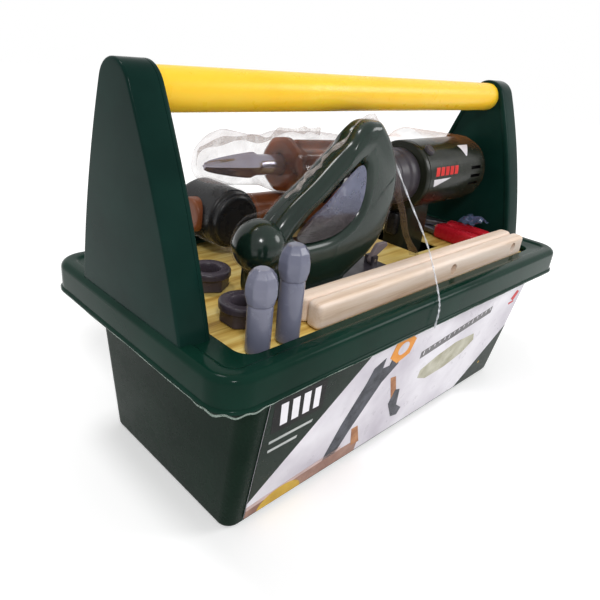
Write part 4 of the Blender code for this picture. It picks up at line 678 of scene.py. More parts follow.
# The label: a sheet on the sloping front wall, with its print as thin inlays

label = {"left": -134 * mm, "right": 137 * mm, "foot": 4.5 * mm, "head": 97 * mm,
         "thickness": 0.5 * mm, "ink": 0.07 * mm, "under": 0.2 * mm, "corner": 0.8 * mm}

# each print is its ink, its layer and its corners in mm along the label and up it
labelPrints = [
    ("green", 1, [(-134, 97), (-50.5, 97), (-134, 17.5)]),
    ("green", 1, [(137, 50.5), (137, 4.5), (86, 4.5)]),
    ("black", 2, [(-131.5, 90), (-94, 90), (-91.5, 67.5), (-129.5, 67.5)]),
    ("white", 3, [(-126.5, 86.5), (-121.5, 86.5), (-119, 71), (-124, 71)]),
    ("white", 3, [(-118.5, 86.5), (-113.5, 86.5), (-111, 71), (-116, 71)]),
    ("white", 3, [(-110.5, 86.5), (-105.5, 86.5), (-103, 71), (-108, 71)]),
    ("white", 3, [(-102.5, 86.5), (-98, 86.5), (-95.5, 71), (-100, 71)]),
    ("pale", 2, [(-129, 62.1), (-97, 62.1), (-97.4, 60.1), (-128.8, 60.1)]),
    ("pale", 2, [(-128.4, 55.4), (-107, 55.4), (-107.4, 53.4), (-128.2, 53.4)]),
    ("plank", 2, [(-134, 4.5), (-134, 10.5), (-96, 13.8), (-58, 15.6), (-40, 15.0), (-40, 4.5)]),
    ("plankTop", 3, [(-134, 10.5), (-134, 13.5), (-96, 16.4), (-58, 18.2), (-58, 15.6),
                     (-96, 13.8)]),
    ("slate", 3, [(-74.5, 15), (-62.5, 15), (-55, 30), (-36, 62), (-24, 72), (-24, 79),
                  (-31.5, 82.5), (-33.5, 74), (-40.5, 74.5), (-40.5, 82.5), (-50, 78),
                  (-53, 68), (-66, 40)]),
    ("slate", 3, [(-16, 34), (-6, 18), (2, 16), (4, 22), (-4, 28), (-8, 44), (-14, 46)]),
    ("ochre", 2, [(-26, 61), (-20, 60), (-9, 38), (-14, 36)]),
    ("ochre", 3, [(-52, 30), (-46, 30), (-38, 12), (-46, 12)]),
    ("ruler", 2, [(3, 71), (91, 82), (91.8, 76), (3.8, 65)]),
    ("olive", 2, [(12, 52), (30, 58), (52, 62), (78, 61), (82, 54), (70, 46), (48, 41),
                  (24, 40), (12, 45)]),
    ("red", 2, [(122, 80), (127, 87), (132, 85), (128, 77)]),
    ("red", 2, [(120.5, 76.5), (122.5, 74.5), (130, 75.5), (129, 77)]),
    ("yellow", 2, [(114.5, 19), (116, 20.5), (117.5, 19), (116, 17.5)])]

# an orange hex nut with its bore and a yellow half disc: middle and radii in mm, first and
# last angle, corners, layer and ink
labelDiscs = [((-24, 84), (12.5, 11), 20, 320, 6, 4, "orange"),
              ((-24, 84), (5.4, 4.8), 0, 345, 24, 5, "paper"),
              ((-108, 4.5), (17, 10.5), 0, 180, 24, 4, "yellow")]


def labelPoints(corners, lift):
    # corners (x, z) stand on the wall's slope, lifted off it
    corners = np.asarray(corners, float)
    y = -tubHalf(corners[:, 1])[1] - lift
    return np.stack([corners[:, 0], y, corners[:, 1]], axis=1)


def inlay(corners, layer, material):
    # a prism between the layer below and its own printed face
    corners = np.asarray(corners, float) * mm
    base = gap + label["thickness"]
    return skin(np.stack([labelPoints(corners, base - label["under"]),
                          labelPoints(corners, base + layer * label["ink"])]), material)


def discCorners(middle, radii, start, end, steps):
    angle = np.radians(np.linspace(start, end, steps))
    return np.stack([middle[0] + radii[0] * np.cos(angle),
                     middle[1] + radii[1] * np.sin(angle)], axis=1)


def makeLabel():
    inks = {
        "paper": inkMaterial("label_paper", (196, 190, 200), (236, 233, 239), scale=16),
        "green": inkMaterial("label_green", (18, 33, 25), (23, 39, 30)),
        "black": inkMaterial("label_black", (20, 20, 20), (28, 28, 28)),
        "white": inkMaterial("label_white", (236, 232, 238), (246, 244, 248)),
        "pale": inkMaterial("label_pale", (176, 180, 178), (196, 198, 196)),
        "plank": inkMaterial("label_plank", (140, 104, 92), (168, 132, 116), scale=90),
        "plankTop": inkMaterial("label_plank_top", (190, 164, 160), (210, 186, 182)),
        "slate": inkMaterial("label_slate", (52, 54, 60), (84, 86, 94), scale=140),
        "ochre": inkMaterial("label_ochre", (150, 96, 62), (190, 136, 92), scale=90),
        "orange": inkMaterial("label_orange", (222, 138, 48), (240, 168, 74)),
        "yellow": inkMaterial("label_yellow", (190, 150, 46), (214, 176, 66)),
        "ruler": inkMaterial("label_ruler", (96, 94, 96), (120, 118, 120)),
        "olive": inkMaterial("label_olive", (166, 162, 138), (200, 197, 180), scale=70),
        "red": inkMaterial("label_red", (188, 38, 44), (206, 54, 58))}
    order = list(inks)
    base = [(label["left"], label["foot"]), (label["right"], label["foot"]),
            (label["right"], label["head"]), (label["left"], label["head"])]
    base = softened(base, label["corner"], 3, closed=True)
    parts = [skin(np.stack([labelPoints(base, gap), labelPoints(base, gap + label["thickness"])]),
                  order.index("paper"))]
    parts += [inlay(corners, layer, order.index(ink)) for ink, layer, corners in labelPrints]
    for middle, radii, start, end, steps, layer, ink in labelDiscs:
        corners = discCorners(middle, radii, start, end, steps)
        parts.append(inlay(corners, layer, order.index(ink)))
    for tick in range(15):                                    # the ruler's marks
        along = tick / 14
        length = 3.4 if tick % 5 == 0 else 2.0                # every fifth is longer
        x, z = 6 + along * 82, 70.9 + along * 10.25
        parts.append(inlay([(x, z), (x + 0.8, z + 0.1), (x + 1.0, z - length),
                            (x + 0.2, z - length - 0.1)], 3, order.index("white")))
    finePiece("front_label", "box", parts, list(inks.values()), "label")


makeLabel()
say("label")


# The power plane

plane = {"y": -21 * mm, "half": 9.5 * mm, "edge": 6.0 * mm, "length": 106.2 * mm,
         "height": 94.9 * mm, "foot": 115.4 * mm, "knob": (-99 * mm, -21 * mm, 146 * mm),
         "knobRadius": 14.8 * mm, "middle": (-52 * mm, 163 * mm), "lowShare": 0.35,
         "footEdge": 0.32, "crown": 0.5 * mm, "steepest": 1.7, "edgeRoom": 0.92,
         "groove": 0.35 * mm,
         "trigger": (-50 * mm, -21 * mm, 174 * mm), "triggerSlope": math.radians(38),
         "triggerLow": (-10 * mm, -4.5 * mm, -4 * mm),
         "triggerHigh": (10 * mm, 4.5 * mm, 3 * mm),
         "pocketLow": (-10.2 * mm, -4.8 * mm, -6 * mm),
         "pocketHigh": (10.2 * mm, 4.8 * mm, 6.9 * mm),
         "port": (-79.5 * mm, -67.5 * mm), "portY": -37 * mm, "portZ": 123.9 * mm,
         "portDepth": 12 * mm, "portHeight": 10 * mm, "pegLength": 28 * mm,
         "pegRadius": 3 * mm}
planeOutlineShares = [
    (-0.009, 0.000), (-0.042, 0.038), (-0.052, 0.112), (-0.052, 0.185), (-0.047, 0.259),
    (0.028, 0.407), (0.080, 0.483), (0.173, 0.569), (0.307, 0.668), (0.441, 0.784),
    (0.556, 0.879), (0.607, 0.946), (0.673, 0.992), (0.739, 1.000), (0.800, 0.981),
    (0.918, 0.837), (0.986, 0.687), (1.000, 0.549), (0.987, 0.436), (0.935, 0.272),
    (0.829, 0.154), (0.684, 0.064), (0.603, 0.019), (0.556, 0.000), (0.085, 0.000)]
planeHoleShares = [
    (0.179, 0.370), (0.252, 0.454), (0.386, 0.554), (0.520, 0.670), (0.603, 0.739),
    (0.659, 0.749), (0.692, 0.691), (0.702, 0.565), (0.669, 0.449), (0.584, 0.365),
    (0.471, 0.317), (0.348, 0.307), (0.245, 0.317)]


def polarRadius(shares, angle):
    # the curve's distance from the plane's middle in each direction
    points = np.asarray(shares) * (plane["length"], plane["height"])
    points = points + (plane["knob"][0], plane["foot"])
    curve = smoothLoop(points, 12)
    curve[:, 1] = np.maximum(curve[:, 1], plane["foot"])
    offset = curve - plane["middle"]
    return np.interp(angle, np.arctan2(offset[:, 1], offset[:, 0]),
                     np.linalg.norm(offset, axis=1), period=2 * math.pi)


def slopeFactor(radius, angle):
    # 1 / cos of the angle between the curve's normal and the ray from the middle
    change = (np.roll(radius, -1) - np.roll(radius, 1)) / (2 * (angle[1] - angle[0]))
    return np.minimum(np.sqrt(1 + (change / radius) ** 2), plane["steepest"])


def makePlaneBody():
    # cross-sections on rays from the middle of the loop: each runs from the loop's edge to
    # the outline's edge with a quarter round at both, out one side and back the other
    angle = np.linspace(-math.pi, math.pi, 420, endpoint=False)
    outer, inner = polarRadius(planeOutlineShares, angle), polarRadius(planeHoleShares, angle)
    height = plane["middle"][1] + outer * np.sin(angle) - plane["foot"]
    fullness = np.clip(height / (plane["height"] * plane["lowShare"]), 0, 1)
    edge = plane["edge"] * (plane["footEdge"] + (1 - plane["footEdge"]) * fullness)
    outerEdge = edge * slopeFactor(outer, angle)
    innerEdge = plane["edge"] * slopeFactor(inner, angle)
    room = np.minimum(1, plane["edgeRoom"] * (outer - inner) / (outerEdge + innerEdge))
    outerEdge, innerEdge = outerEdge * room, innerEdge * room
    turn = np.linspace(0, math.pi / 2, 9)[:, None]
    toSide = outer - outerEdge * (1 - np.sin(turn)), plane["half"] - edge * (1 - np.cos(turn))
    toHole = (inner + innerEdge * (1 - np.sin(turn)),
              plane["half"] - plane["edge"] * (1 - np.cos(turn)) + 0 * angle)
    share = np.linspace(0, 1, 7)[1:-1, None]
    faceRadius = (inner + innerEdge) * (1 - share) + (outer - outerEdge) * share
    faceHalf = plane["half"] + plane["crown"] * 4 * share * (1 - share) + 0 * angle
    groove = plane["groove"]        # where the two shells meet
    radii = np.concatenate([toHole[0][::-1], faceRadius, toSide[0], [outer, outer - groove]])
    halves = np.concatenate([toHole[1][::-1], faceHalf, toSide[1],
                             [groove + 0 * angle, 0.12 * mm + 0 * angle]])
    radii, halves = np.concatenate([radii, radii[::-1]]), np.concatenate([-halves, halves[::-1]])
    x = plane["middle"][0] + radii * np.cos(angle)
    z = np.maximum(plane["middle"][1] + radii * np.sin(angle), plane["foot"])
    points = np.stack([x, plane["y"] + halves, z], axis=-1)
    # the chip port goes in from the front, and the trigger's pocket is a little wider
    # than the trigger; the walls of both get near-black painted shade
    port = roundedBlock((plane["port"][0], 0, 0),
                        (plane["port"][1], plane["portHeight"], plane["portDepth"]), 1.6 * mm)
    port = np.stack([port[..., 0], port[..., 2] + plane["portY"],
                     port[..., 1] + plane["portZ"]], axis=-1)
    pocket = roundedBlock(plane["pocketLow"], plane["pocketHigh"], 0.6 * mm)
    pocket = tilted(pocket, plane["trigger"], plane["triggerSlope"])
    makePiece("fine_plane_body", "plane", [skin(points, ring=True)], [toolGreen, shadowBlack],
              ["plane_front_shell", "plane_back_shell"], "tool_green",
              cuts=[skin(port, 1), skin(pocket, 1)])


def makeKnob():
    # a ball of radius sin a and height -cos a on a peg that goes down to the body
    angle = np.linspace(0, math.pi, 40)
    radius = plane["knobRadius"]
    profile = np.stack([radius * np.sin(angle), -radius * np.cos(angle)], axis=1)
    profile[0, 0] = profile[-1, 0] = 0
    foot, half = -plane["pegLength"], plane["pegRadius"]
    peg = [(0, foot), (half, foot), (half, 0), (0, 0)]
    finePiece("plane_knob", "plane_knob",
              [skin(revolved(profile, plane["knob"], zAxis, 64)),
               skin(revolved(peg, plane["knob"], zAxis, 24))],
              [toolGreen], "tool_green")


def makePlaneTrigger():
    block = roundedBlock(plane["triggerLow"], plane["triggerHigh"], 1.4 * mm)
    finePiece("plane_trigger", "plane_trigger",
              [skin(tilted(block, plane["trigger"], plane["triggerSlope"]))], [black], "dark_grey")


def makeLever():
    # a raked tab whose outline has softened corners, with rounded rims on both sides
    low, high = span("plane_lever")
    pin = np.array((3.5 * mm, low[2] + 3.0 * mm))
    angle = np.radians(np.array((150, 195, 235, 270, 305, 345, 390)))
    foot = pin + 3.0 * mm * np.stack([np.cos(angle), np.sin(angle)], axis=1)
    head = np.array([(high[0], high[2] - 3 * mm), (high[0], high[2] - 1.2 * mm),
                     (high[0] - 1.5 * mm, high[2]), (high[0] - 10 * mm, high[2]),
                     (high[0] - 12 * mm, high[2] - 1.6 * mm)])
    loop = softened(np.concatenate([foot, head]), 1.2 * mm, 4, closed=True)
    insets, places = roundedEnds(low[1], high[1], 0.5 * mm, 3)
    loops = np.stack([insetLoop(loop, back) for back in insets])
    finePiece("plane_lever", "plane_lever", [skin(standing(loops, places, "xz"))], [leverGrey],
              "light_grey")


makePlaneBody()
makeKnob()
makePlaneTrigger()
makeLever()
say("plane")


# The drill

drill = {"y": 4 * mm, "z": 166 * mm, "front": 54 * mm, "length": 91.5 * mm, "radius": 25 * mm,
         "rearRound": 11 * mm, "gripX": (60 * mm, 90 * mm), "gripHalf": 11 * mm,
         "gripFoot": 94 * mm, "gripEdge": 5 * mm, "ventRear": 129.5 * mm, "ventLength": 14 * mm,
         "ventPitch": 6.2 * mm, "ventWidth": 2.4 * mm, "ventReach": (21.5 * mm, 31 * mm),
         "chuckRibs": 8, "chuckRadius": 11.5 * mm, "bitRadius": 3 * mm, "bitTwist": 330.0,
         "buttonAngle": math.radians(127), "buttonAlong": 11 * mm, "buttonRise": 2.5 * mm}
drillPlace = np.array((drill["front"], drill["y"], drill["z"]))


def barrelPatch(starts, ends, material, height=0.10 * mm, under=-0.3 * mm, steps=12):
    # a thin print wrapped on the barrel: its left and right edge run evenly from the
    # first (left, right, angle) to the last, and it reaches a little into the barrel
    rows = np.linspace(starts, ends, steps)
    angle = np.radians(rows[:, 2])
    rings = []
    for column, radius in ((0, under), (0, height), (1, height), (1, under)):
        out = drill["radius"] + radius
        rings.append(np.stack([rows[:, column] * mm, drill["y"] + out * np.cos(angle),
                               drill["z"] + out * np.sin(angle)], axis=1))
    return skin(np.stack(rings, axis=1), material)


def makeDrillBody():
    radius, length, back = drill["radius"], drill["length"], drill["rearRound"]
    profile = [(0, 0), (radius - 1.6 * mm, 0), (radius - 0.5 * mm, 0.4 * mm), (radius, 1.6 * mm),
               (radius, 4.6 * mm), (radius - 0.45 * mm, 4.9 * mm), (radius - 0.45 * mm, 5.3 * mm),
               (radius, 5.6 * mm), (radius, length * 0.5), (radius, length - back - 4 * mm)]
    inset, drop = quarterRound(back, 10)
    profile += [*zip(radius - inset[::-1], length - drop[::-1]), (0, length)]
    barrel = revolved(profile, drillPlace, xAxis, 96)
    low, high = drill["gripX"]
    inset, drop = quarterRound(3 * mm, 5)
    heights = np.concatenate([[drill["z"] - 12 * mm, drill["z"] - 26 * mm],
                              drill["gripFoot"] + drop[::-1]])
    insets = np.concatenate([[0, 0], inset[::-1]])
    loops = roundedLoop((high - low) / 2 - insets, drill["gripHalf"] - insets,
                        drill["gripEdge"] - insets, 8) + ((low + high) / 2, drill["y"])
    grip = standing(loops, heights, "xy")
    # the vents' walls get near-black painted shade
    vents = []
    for side in (-1, 1):
        for step in (-1, 0, 1):
            z, half = drill["z"] + step * drill["ventPitch"], drill["ventWidth"] / 2
            near, far = sorted(drill["y"] + side * reach for reach in drill["ventReach"])
            block = roundedBlock((drill["ventRear"] - drill["ventLength"], near, z - half),
                                 (drill["ventRear"], far, z + half), 0.4 * mm, 0.5 * mm, 3)
            vents.append(skin(block, 1))
    makePiece("fine_drill_body", "drill", [skin(barrel), skin(grip)], [drillGreen, shadowBlack],
              ["drill_front_shell", "drill_back_shell"], "tool_green", cuts=vents)


def makeDrillMarks():
    # five slanted red bars, a pale triangle and a pale quarter, wrapped on the barrel
    red = inkMaterial("drill_mark_red", (196, 44, 44), (216, 62, 58))
    pale = inkMaterial("drill_mark_pale", (214, 210, 216), (230, 226, 232))
    bars = [barrelPatch((start, start + 4.6, 172), (start + 1.6, start + 6.2, 158), 0)
            for start in (65.6, 71.8, 78.0, 84.2, 90.4)]
    triangle = barrelPatch((64.9, 65.3, 189), (63.8, 86.3, 177), 1)
    quarter = barrelPatch((110.5, 111.5, 144), (106.5, 121, 121), 1)
    makePiece("drill_marks", "drill", [*bars, triangle, quarter], [red, pale], slot="red")


def makeGearcase():
    low, high = span("drill_gearcase")
    length = high[0] - low[0]
    profile = [(0, -gap), (20 * mm, -gap), (20 * mm, -0.30 * length), (18.9 * mm, -0.36 * length),
               (18.2 * mm, -0.60 * length), (17.8 * mm, -0.62 * length),
               (17.8 * mm, -0.80 * length), (16.6 * mm, -length - gap), (0, -length - gap)]
    profile = softened(profile, 1.0 * mm, 5)
    finePiece("drill_gearcase", "drill", [skin(revolved(profile, drillPlace, xAxis, 80))],
              [darkGrey], "dark_grey")


def makeChuck():
    low, high = span("drill_chuck")
    front = high[0] - drill["front"]
    nose = low[0] - drill["front"]
    radius = drill["chuckRadius"]
    profile = [(0, front), (radius - 0.8 * mm, front, 0.02), (radius, front - 0.8 * mm, 0.10),
               (radius, front - 11.6 * mm, 0.10), (radius - 0.7 * mm, front - 12.6 * mm, 0.04),
               (radius - 1.2 * mm, front - 14.0 * mm, 0), (8.6 * mm, front - 18.5 * mm, 0),
               (6.4 * mm, nose + 0.8 * mm, 0), (5.6 * mm, nose, 0), (0, nose)]
    points = revolved(profile, drillPlace, xAxis, 96, drill["chuckRibs"])
    finePiece("drill_chuck", "chuck", [skin(points)], [darkGrey], "dark_grey")


def makeBit():
    # a twist bit: two flutes that turn with the distance along it, and a pointed end
    low, high = span("drill_bit")
    radius, tip, root = drill["bitRadius"], low[0] - drill["front"], high[0] - drill["front"]
    along = np.linspace(root - 11 * mm, tip + 4 * mm, 40)
    profile = [(0, root), (radius, root), (radius, root - 10.6 * mm)]
    profile += [(radius, place, 0.42) for place in along]
    profile += [(radius * 0.55, tip + 1.6 * mm, 0.3), (0, tip)]
    points = revolved(profile, drillPlace, xAxis, 32, 2, twist=drill["bitTwist"])
    finePiece("drill_bit", "chuck", [skin(points)], [steel], "steel")


def makeDrillControls():
    low, high = span("drill_trigger")
    block = roundedBlock(low, high, 1.6 * mm, 2.4 * mm)
    finePiece("drill_trigger", "drill_trigger", [skin(block)], [black], "dark_grey")
    angle = drill["buttonAngle"]
    out = np.array((0, math.cos(angle), math.sin(angle)))
    place = drillPlace + xAxis * drill["buttonAlong"]
    rimAt = drill["radius"] + drill["buttonRise"]
    profile = [(0, rimAt - 5 * mm), (4 * mm, rimAt - 5 * mm), (4 * mm, rimAt - 0.9 * mm),
               (3.1 * mm, rimAt), (1.2 * mm, rimAt - 0.25 * mm), (0, rimAt - 0.3 * mm)]
    finePiece("drill_button", "drill_button",
              [skin(revolved(softened(profile, 0.5 * mm), place, out, 40))], [darkGrey],
              "dark_grey")


makeDrillBody()
makeDrillMarks()
makeGearcase()
makeChuck()
makeBit()
makeDrillControls()
say("drill")


# The mallet and the screwdriver along its handle

mallet = {"place": (-66 * mm, 62 * mm, 137.8 * mm), "slope": math.asin(5.7 / 120),
          "headRadius": 19.5 * mm, "headHalf": 24 * mm, "faceRadius": 17 * mm,
          "face": 5 * mm, "neck": 11.5 * mm, "grip": 15 * mm, "neckLength": 75 * mm,
          "through": 3 * mm, "gripLength": 45 * mm}
malletAxis = np.array((math.cos(mallet["slope"]), 0, -math.sin(mallet["slope"])))
driver = {"offset": -7 * mm, "reach": 103.5 * mm, "radius": 18 * mm, "length": 58 * mm,
          "collar": 8 * mm, "collarRadius": 19.2 * mm, "ribs": 8, "rib": 0.13,
          "shank": 7 * mm, "shankLength": 18 * mm, "tip": 45 * mm, "tipRadius": 8.6 * mm}

# the screwdriver lies beside the handle's axis and as far above it as both radii reach
driverRest = mallet["grip"] + driver["radius"] + gap
driverLean = math.asin(driver["offset"] / driverRest)
driverOver = np.cross(malletAxis, yAxis)
driverPlace = (np.array(mallet["place"]) + malletAxis * driver["reach"]
               + driverRest * (yAxis * math.sin(driverLean) + driverOver * math.cos(driverLean)))
driverEnd = driver["length"] + driver["shankLength"] + driver["tip"]


def makeMallet():
    half, face = mallet["headHalf"], mallet["face"]
    radius, small = mallet["headRadius"], mallet["faceRadius"]
    front = [(0, -half + 0.4 * mm), (small - 2 * mm, -half), (small, -half + 1 * mm),
             (small, -half + face - 0.4 * mm), (radius - 0.6 * mm, -half + face + 0.4 * mm),
             (radius, -half + face + 1.6 * mm), (radius, -2 * mm)]
    profile = front + [(wide, -place) for wide, place in front[::-1]]
    head = revolved(softened(profile, 0.8 * mm), mallet["place"], yAxis, 80)
    finePiece("mallet_head", "mallet", [skin(head)], [black], "black")
    neck, grip = mallet["neck"], mallet["grip"]
    start, turnAt = -radius - mallet["through"], mallet["neckLength"]
    end = turnAt + mallet["gripLength"]
    profile = [(0, start), (neck - 1.2 * mm, start), (neck, start + 1.2 * mm),
               (neck - 0.6 * mm, turnAt * 0.5), (neck, turnAt - 8 * mm),
               (grip - 0.8 * mm, turnAt - 1 * mm), (grip, turnAt + 3 * mm),
               (grip, end - 4 * mm), (grip - 2.6 * mm, end - 0.8 * mm), (0, end)]
    handle = revolved(softened(profile, 2.4 * mm, 6), mallet["place"], malletAxis, 72)
    finePiece("mallet_handle", "mallet", [skin(handle)], [brown], "brown")


def makeScrewdriver():
    radius, length, collar = driver["radius"], driver["length"], driver["collar"]
    wide, rib = driver["collarRadius"], driver["rib"]
    profile = [(0, 0.6 * mm), (radius - 6 * mm, 0, rib * 0.4), (radius - 1.6 * mm, 1.0 * mm, rib),
               (radius, 4 * mm, rib), (radius, length * 0.45, rib),
               (radius, length - collar - 4 * mm, rib),
               (radius - 3.0 * mm, length - collar, rib * 0.6),
               (wide, length - collar + 2.2 * mm, rib * 0.3), (wide, length - 2.0 * mm, rib * 0.3),
               (wide - 3.4 * mm, length, 0), (7.2 * mm, length, 0),
               (7.2 * mm, length - 30 * mm, 0), (0, length - 30 * mm, 0)]
    handle = revolved(softened(profile, 1.4 * mm, 5), driverPlace, -malletAxis, 112,
                      driver["ribs"], -driverLean)
    finePiece("screwdriver_handle", "screwdriver", [skin(handle)], [amber], "amber")
    end, tip, tipRadius = length + driver["shankLength"], driver["tip"], driver["tipRadius"]
    # radius, place and share of roundness: a round shank, then a four-sided tip with an
    # edge towards the front, widest near the shank and cut back to a small cross
    rows = [(0, length - 29 * mm, 1), (driver["shank"], length - 29 * mm, 1),
            (driver["shank"], end - 1.0 * mm, 1), (driver["shank"] * 1.02, end + 0.05 * tip, 0.8),
            (tipRadius * 1.02, end + 0.13 * tip, 0.15), (tipRadius * 1.02, end + 0.22 * tip, 0),
            (tipRadius * 0.84, end + 0.50 * tip, 0), (tipRadius * 0.62, end + 0.76 * tip, 0),
            (tipRadius * 0.44, end + 0.92 * tip, 0), (tipRadius * 0.26, end + tip, 0),
            (0, end + tip, 1)]
    rows = softened(rows, 0.9 * mm, 3)
    angle = wholeTurn(96)
    section = np.stack([facetSection(angle - math.pi / 4, 4, share) for share in rows[:, 2]])
    along = np.clip((rows[:, 1:2] - end - 0.3 * tip) / (0.6 * tip), 0, 1)
    radii = rows[:, :1] * section * (1 - 0.30 * along * (0.5 - 0.5 * np.cos(4 * angle)))
    side, up = acrossAxis(-malletAxis)
    points = aroundAxis(driverPlace - malletAxis * rows[:, 1, None, None], side, up, radii, angle)
    finePiece("screwdriver_shank", "screwdriver", [skin(points)], [tipSilver], "silver", sharp=20)


makeMallet()
makeScrewdriver()
say("mallet and screwdriver")


# The pliers

pliers = {"pivot": (120 * mm, 18 * mm), "size": 60 * mm, "layer": 4 * mm,
          "low": 113.6 * mm, "gripLow": 112.1 * mm, "gripHigh": 123.4 * mm}
pliersHalfShares = [
    (0.012, 0.520), (0.110, 0.500), (0.160, 0.230), (0.150, 0.020), (0.070, -0.130),
    (-0.020, -0.290), (-0.085, -0.480), (-0.115, -0.700), (-0.110, -0.930), (-0.185, -0.930),
    (-0.205, -0.700), (-0.185, -0.450), (-0.150, -0.240), (-0.145, -0.100), (-0.140, 0.030),
    (-0.090, 0.140), (0.008, 0.190)]
pliersGripShares = [
    (-0.195, -0.360), (-0.228, -0.480), (-0.248, -0.700), (-0.232, -0.940), (-0.185, -1.000),
    (-0.110, -1.000), (-0.065, -0.940), (-0.072, -0.700), (-0.042, -0.520), (-0.010, -0.400)]


def flatPiece(shares, mirror, low, high, edge):
    # a smooth outline with quarter rounds along both of its faces
    loop = smoothLoop(np.asarray(shares) * (mirror * pliers["size"], pliers["size"])
                      + pliers["pivot"], 8)
    insets, heights = roundedEnds(low, high, edge, 4)
    return standing(np.stack([insetLoop(loop, back) for back in insets]), heights, "xy")


def makePliers():
    for mirror, name, body in ((1, "pliers_left_half", "pliers"),
                               (-1, "pliers_right_half", "pliers_right")):
        low = pliers["low"] + (0 if mirror > 0 else pliers["layer"] + gap)
        half = flatPiece(pliersHalfShares, mirror, low, low + pliers["layer"], 0.6 * mm)
        finePiece(name, body, [skin(half)], [darkSteel], "dark_grey")
        grip = flatPiece(pliersGripShares, mirror, pliers["gripLow"], pliers["gripHigh"],
                         2.6 * mm)
        finePiece(name + "_grip", body, [skin(grip)], [gripRed], "red")


makePliers()
say("pliers")


# The wooden strips, the toy bolts and the toy nuts

strip = {"edge": 2.6 * mm, "corner": 3.4 * mm, "holePlaces": (0.558, 0.927),
         "holeRadius": 3.6 * mm, "holeHeight": 8.3 * mm, "over": 2 * mm}


def makeStrips():
    for number in (1, 2):
        low, high = span(f"wood_strip_{number}")
        block = roundedBlock(low, high, strip["edge"], strip["corner"], 6)
        profile = [(strip["holeRadius"], -strip["over"]),
                   (strip["holeRadius"], high[1] - low[1] + strip["over"])]
        holes = []
        for share in strip["holePlaces"]:
            middle = (low[0] + share * (high[0] - low[0]), low[1], low[2] + strip["holeHeight"])
            holes.append(skin(revolved(profile, middle, yAxis, 32)))
        finePiece(f"wood_strip_{number}", f"strip_{number}", [skin(block)], [wood], "wood",
                  cuts=holes)


boltHead = {"radius": 8 * mm, "height": 17.5 * mm, "shank": 6.2 * mm, "facets": 8}


def makeBolts():
    angle = wholeTurn(128)
    for number in (1, 2):
        low, high = span(f"toy_bolt_{number}")
        middle = (low + high)[:2] / 2
        length, head = high[2] - low[2], boltHead["height"]
        neck, radius, shank = length - head, boltHead["radius"], boltHead["shank"]
        # radius, height and share of roundness: a round shank, a facetted head that
        # widens from a shallow neck, and a crown that closes in flats to a small top
        rows = [(0, 0, 1), (shank - 1.2 * mm, 0, 1), (shank, 1.2 * mm, 1),
                (shank, neck - 1.2 * mm, 1), (shank - 0.3 * mm, neck - 0.2 * mm, 1),
                (shank + 0.5 * mm, neck + 0.8 * mm, 0.8), (radius, neck + 5.4 * mm, 0),
                (radius, neck + 9.6 * mm, 0), (radius * 0.86, neck + 14.0 * mm, 0),
                (radius * 0.56, neck + 16.9 * mm, 0), (radius * 0.42, length, 0.2),
                (0, length, 1)]
        rows = softened(rows, 0.7 * mm, 3)
        radii = rows[:, :1] * np.stack([facetSection(angle, boltHead["facets"], share)
                                        for share in rows[:, 2]])
        loops = aroundPoints(radii, angle) + middle
        finePiece(f"toy_bolt_{number}", f"bolt_{number}",
                  [skin(standing(loops, low[2] + rows[:, 1], "xy"))], [boltGrey], "blue_grey",
                  sharp=24)


nut = {"radius": 13 * mm, "across": 21.5 * mm, "bore": 6.6 * mm, "flange": 4.2 * mm,
       "height": 12 * mm, "corner": 12.0 * mm}


def makeNuts():
    angle = wholeTurn(96)
    for number in (1, 2):
        low, high = span(f"toy_nut_{number}")
        middle = (low + high)[:2] / 2
        hexRadius = np.minimum(nut["across"] / 2 / np.cos(fromFacet(angle, 6)), nut["corner"])
        collar, top, bore = nut["height"] - nut["flange"], nut["height"], nut["bore"]
        inset, drop = quarterRound(1.4 * mm, 5)
        rows = [(hexRadius - 0.8 * mm, 0), (hexRadius, 0.8 * mm), (hexRadius, collar - 0.3 * mm),
                (hexRadius + 0.2 * mm, collar), (nut["radius"] - 0.5 * mm, collar),
                (nut["radius"], collar + 0.5 * mm)]
        rows += [*zip(nut["radius"] - inset[::-1], top - drop[::-1])]
        rows += [(bore + 2.0 * mm, top), (bore + 0.6 * mm, top - 0.4 * mm),
                 (bore, top - 1.4 * mm), (bore, 6 * mm), (bore, 0)]
        radii = np.stack([radius + 0 * angle for radius, _ in rows])
        heights = np.array([height for _, height in rows])
        loops = aroundPoints(radii, angle) + middle
        finePiece(f"toy_nut_{number}", f"nut_{number}",
                  [skin(standing(loops, low[2] + heights, "xy"), ring=True)], [nutGrey],
                  "dark_grey")


makeStrips()
makeBolts()
makeNuts()
say("strips, bolts and nuts")


# The clear film that wraps the tools in the photograph, as thin loose skins

film = {"thickness": 0.15 * mm, "stands": 0.8 * mm, "over": 0.9 * mm, "sag": 2.4 * mm,
        "sagWidth": 10 * mm, "loopShade": (145 * mm, 180 * mm), "loopSag": 1.6 * mm,
        "tent": 0.75, "tentFrom": 0.45, "slack": 0.12, "pull": 12 * mm,
        "edgeOut": 0.3 * mm, "edgeThickness": 0.12 * mm,
        "nearCorner": (-164 * mm, -81 * mm), "crinkleReach": 16 * mm,
        "crumpleAt": (132, -25, 128.3), "crumpleHeight": (1.6, 1.2, 2.6),
        "strandTurn": 0.55, "strandRadius": (0.42, 0.22)}


def heightOf(tree, place):
    split = tree.nodes.new("ShaderNodeSeparateXYZ")
    tree.links.new(place, split.inputs["Vector"])
    return split.outputs["Z"]


